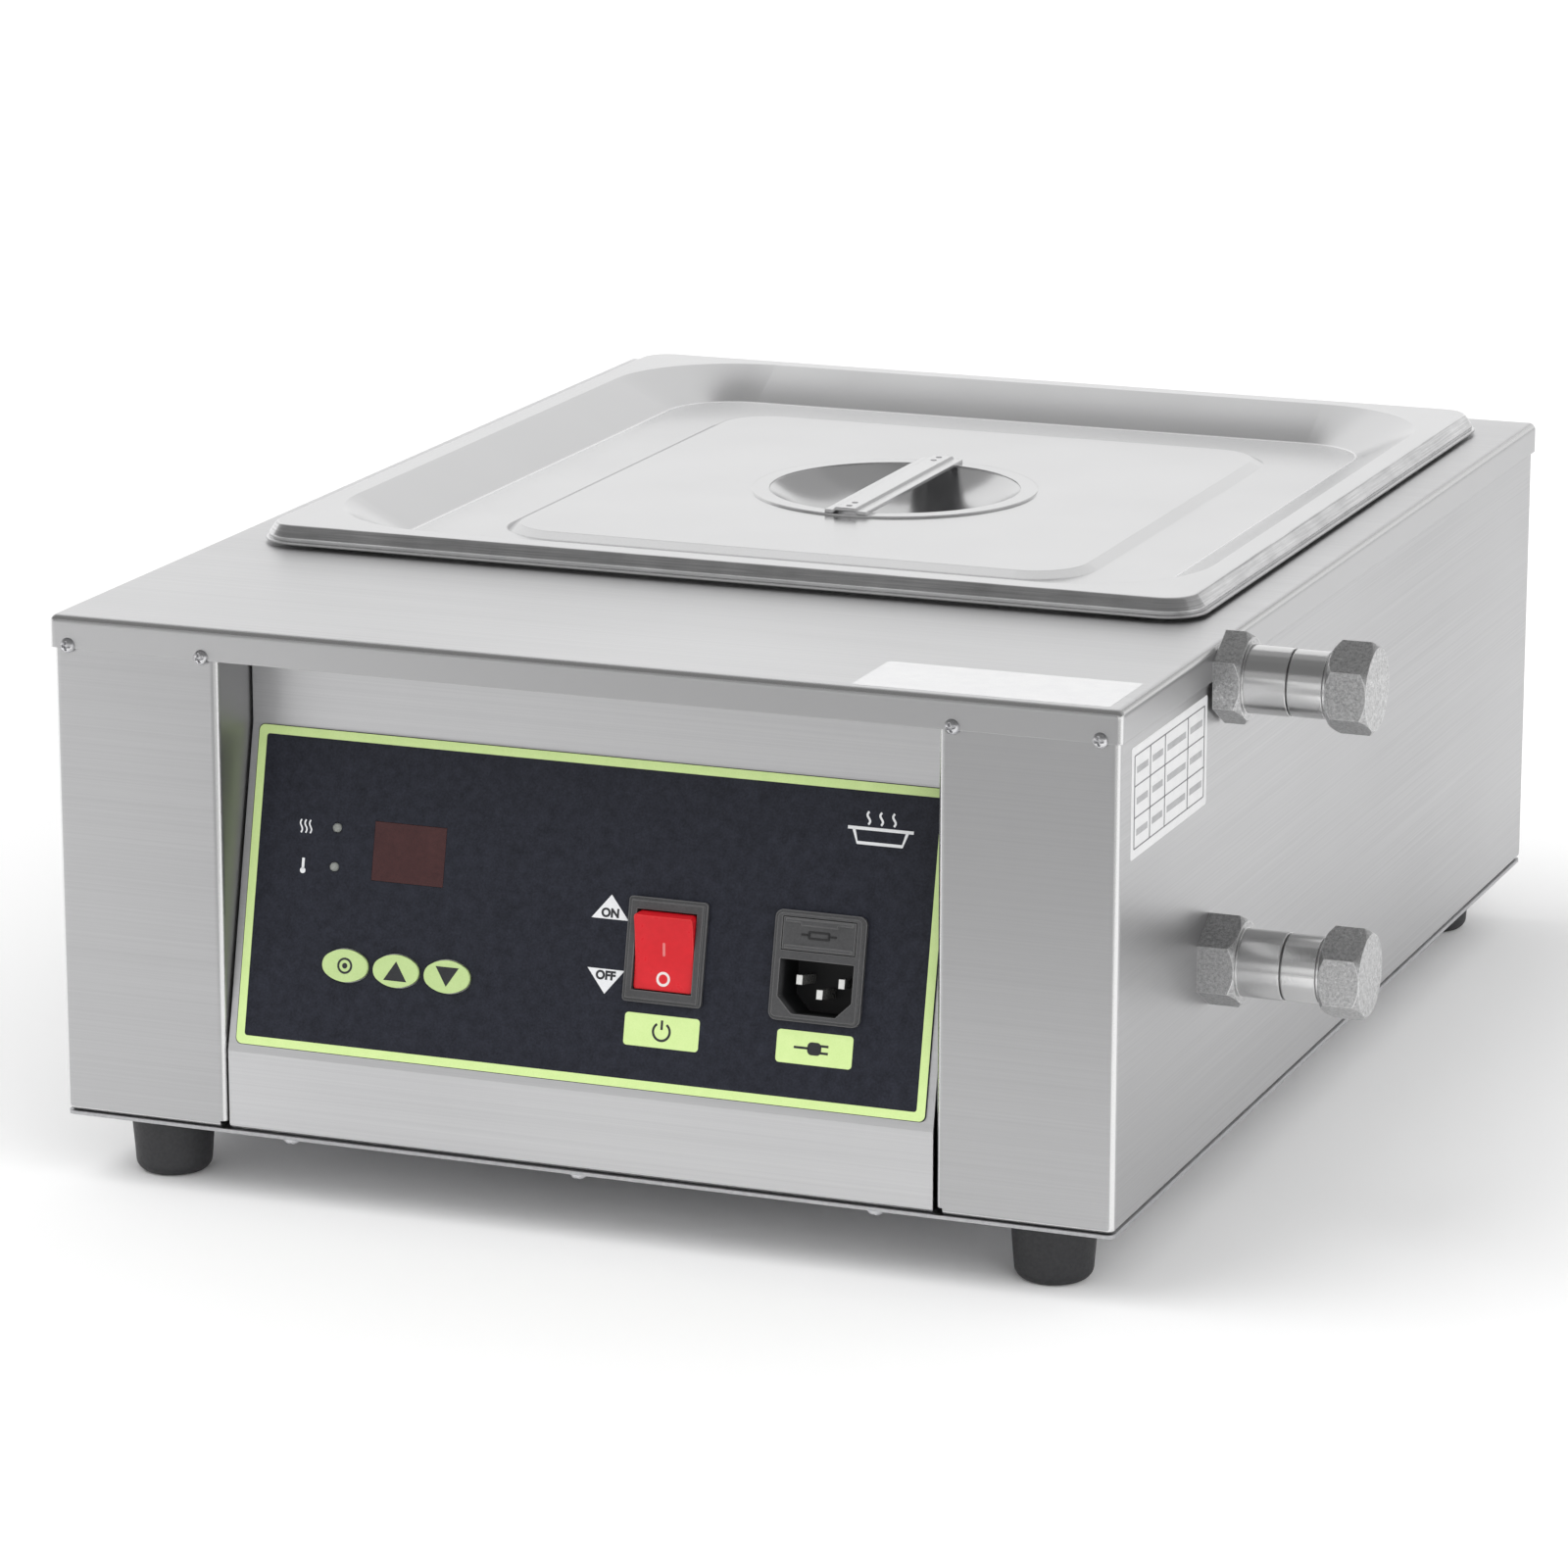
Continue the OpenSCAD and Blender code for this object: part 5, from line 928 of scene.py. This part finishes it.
# Pan: deep-drawn stainless, bright and smooth.
# It hangs by its rim in the opening of the top plate.
def drawn_steel(name, light, dark):
    """Bright sheet pressed smooth, with hardly any grain and painted edge highlights."""
    return surface(name, light, dark, 0.17, 0.22, 25, cloud=6, metallic=1.0, edge=0.0006,
                   edge_tint=(0.85, 0.85, 0.85))


pressed_steel = drawn_steel("pressed_steel", (0.715, 0.715, 0.72), (0.70, 0.70, 0.705))
dress(pressed_steel, "pan")


# Lid: pressed stainless with a tray, a raised panel and a bowl under a welded strap.
# The tray's wall is drawn slightly round, the fold at its foot is painted bright as a highlight, the raised
# panel's left fold is painted dark as shade, and the skirt keeps lines of the rolling.
def outline_group():
    """Rounded outline: how far a place lies outside a rounded rectangle, less than 0 inside it.
    The distance is that beyond the corner circles' centres, less their radius."""
    group, given, result = shader_group("rounded_outline",
                                        {"Centre": "Vector", "Reach": "Vector", "Corner": "Float"},
                                        {"Distance": "Float"})
    place = shader_node(group, "TexCoord").outputs["Object"]
    aside = vector_step(group, "ABSOLUTE", vector_step(group, "SUBTRACT", place, given["Centre"]))
    level = vector_step(group, "MULTIPLY", aside, (1, 1, 0))
    beyond = vector_step(group, "SUBTRACT", level, given["Reach"])
    parts = shader_node(group, "SeparateXYZ", {0: beyond}).outputs
    inside = number_step(group, "MINIMUM", number_step(group, "MAXIMUM", parts["X"], parts["Y"]), 0.0)
    outside = vector_step(group, "LENGTH", vector_step(group, "MAXIMUM", beyond, (0, 0, 0)))
    whole = number_step(group, "ADD", inside, outside)
    group.links.new(number_step(group, "SUBTRACT", whole, given["Corner"]), result["Distance"])
    return group


rounded_outline = outline_group()
lid_low, lid_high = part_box("lid_shell")
lid_mid, lid_half = (lid_low + lid_high) / 2, (lid_high - lid_low) / 2
skirt_in, skirt_corner, skirt_edge = 0.0035, 0.0095, 0.0006
ledge_w, tray_corner, wall_run = 0.0105, 0.046, 0.021
channel_w, panel_corner, panel_slope = 0.027, 0.022, 0.004
wall_bow, panel_ease, fold_half = 0.0009, 0.0012, 0.0007
foot_in, foot_corner = ledge_w + wall_run, tray_corner - wall_run
panel_in = foot_in + channel_w
lid_steel = drawn_steel("lid_steel", (0.675, 0.675, 0.68), (0.66, 0.66, 0.665))
lid_tree = lid_steel.node_tree


def lid_ramp(inset, corner, low, high):
    """Ramp from 0 to 1 as the distance from a rounded outline inset on the lid runs between two levels."""
    reach = (lid_half.x - inset - corner, lid_half.y - inset - corner, 0)
    outline = shader_node(lid_tree, "Group", {"Centre": lid_mid, "Reach": reach, "Corner": corner},
                          node_tree=rounded_outline)
    return ramp(lid_tree, outline.outputs["Distance"], low, high)


def lid_product(first, second):
    """Product of two masks on the lid, or of a mask and a number."""
    return number_step(lid_tree, "MULTIPLY", first, second)


up_wall = lid_ramp(ledge_w, tray_corner, -wall_run, 0)
up_panel = lid_ramp(panel_in, panel_corner, 0, -panel_slope)
drawn = number_step(lid_tree, "ADD", lid_product(lid_product(up_wall, up_wall), -wall_bow),
                    lid_product(up_panel, -panel_ease))
unbowed = fed(lid_steel, "Normal")
bowed = shader_node(lid_tree, "Bump", {"Distance": 1.0, "Height": drawn, "Normal": unbowed})
feed(lid_steel, "Normal", bowed.outputs["Normal"])

# A thin band at the foot of the tray's wall is painted bright as a highlight.
foot_fold = lid_product(lid_ramp(foot_in, foot_corner, -fold_half, 0),
                        lid_ramp(foot_in, foot_corner, fold_half, 0))
overlay_values(lid_steel, foot_fold, (0.93, 0.93, 0.935), 0.3)
# A thin line along the raised panel's left fold is painted dark as shade.
panel_fold = lid_product(lid_ramp(panel_in, panel_corner, -panel_slope - fold_half, -panel_slope),
                         lid_ramp(panel_in, panel_corner, fold_half, 0))
panel_left, left_start, left_end = lid_half.x - panel_in, 0.006, 0.003
left_side = axis_mask(lid_tree, "Object", (-1, 0, 0), panel_left - left_start, panel_left - left_end)
overlay_values(lid_steel, lid_product(panel_fold, left_side), (0.30, 0.30, 0.305), 0.3)

rolled = shader_node(lid_tree, "Group", {"Stretch": (45, 45, 2600), "Cloud": 60,
                                         "Light": (0.92, 0.92, 0.925, 1), "Dark": (0.55, 0.55, 0.555, 1)},
                     node_tree=surface_grain)
on_skirt = lid_ramp(skirt_in, skirt_corner, 0, skirt_edge)
streaked = mixed(lid_tree, "RGBA", on_skirt, fed(lid_steel, "Base Color"), rolled.outputs["Color"])
feed(lid_steel, "Base Color", streaked)
dress(lid_steel, "lid_shell")
dress(pressed_steel, "lid_handle")

# Weld marks: two small round marks at each end of the strap.
# They are spots where the strap was pressed and welded, dull and a little darker.
strap_low, strap_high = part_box("lid_handle")
strap_mid, strap_half = (strap_low + strap_high) / 2, (strap_high - strap_low) / 2
weld_d, weld_in, weld_pitch = 0.0022, 0.004, 0.0055
weld_steel = surface("weld_steel", (0.40, 0.40, 0.41), (0.28, 0.28, 0.29), 0.35, 0.5, 900, cloud=200,
                     metallic=1.0, relief=0.00002, edge=0.0003)


def on_strap(x, s, lift):
    """Point on the strap's rib: x across, s towards the front, lift above it."""
    x, s, lift = np.broadcast_arrays(x, s, lift)
    return np.stack([x, -s, strap_high.z + lift], axis=-1)


for end in (-1, 1):
    for number in range(2):
        weld_y = strap_mid.y + end * (strap_half.y - weld_in - weld_pitch * number)
        plate(f"weld_mark_{end}_{number}", on_strap, circle(weld_d), 0, -weld_y, weld_steel, "lid")
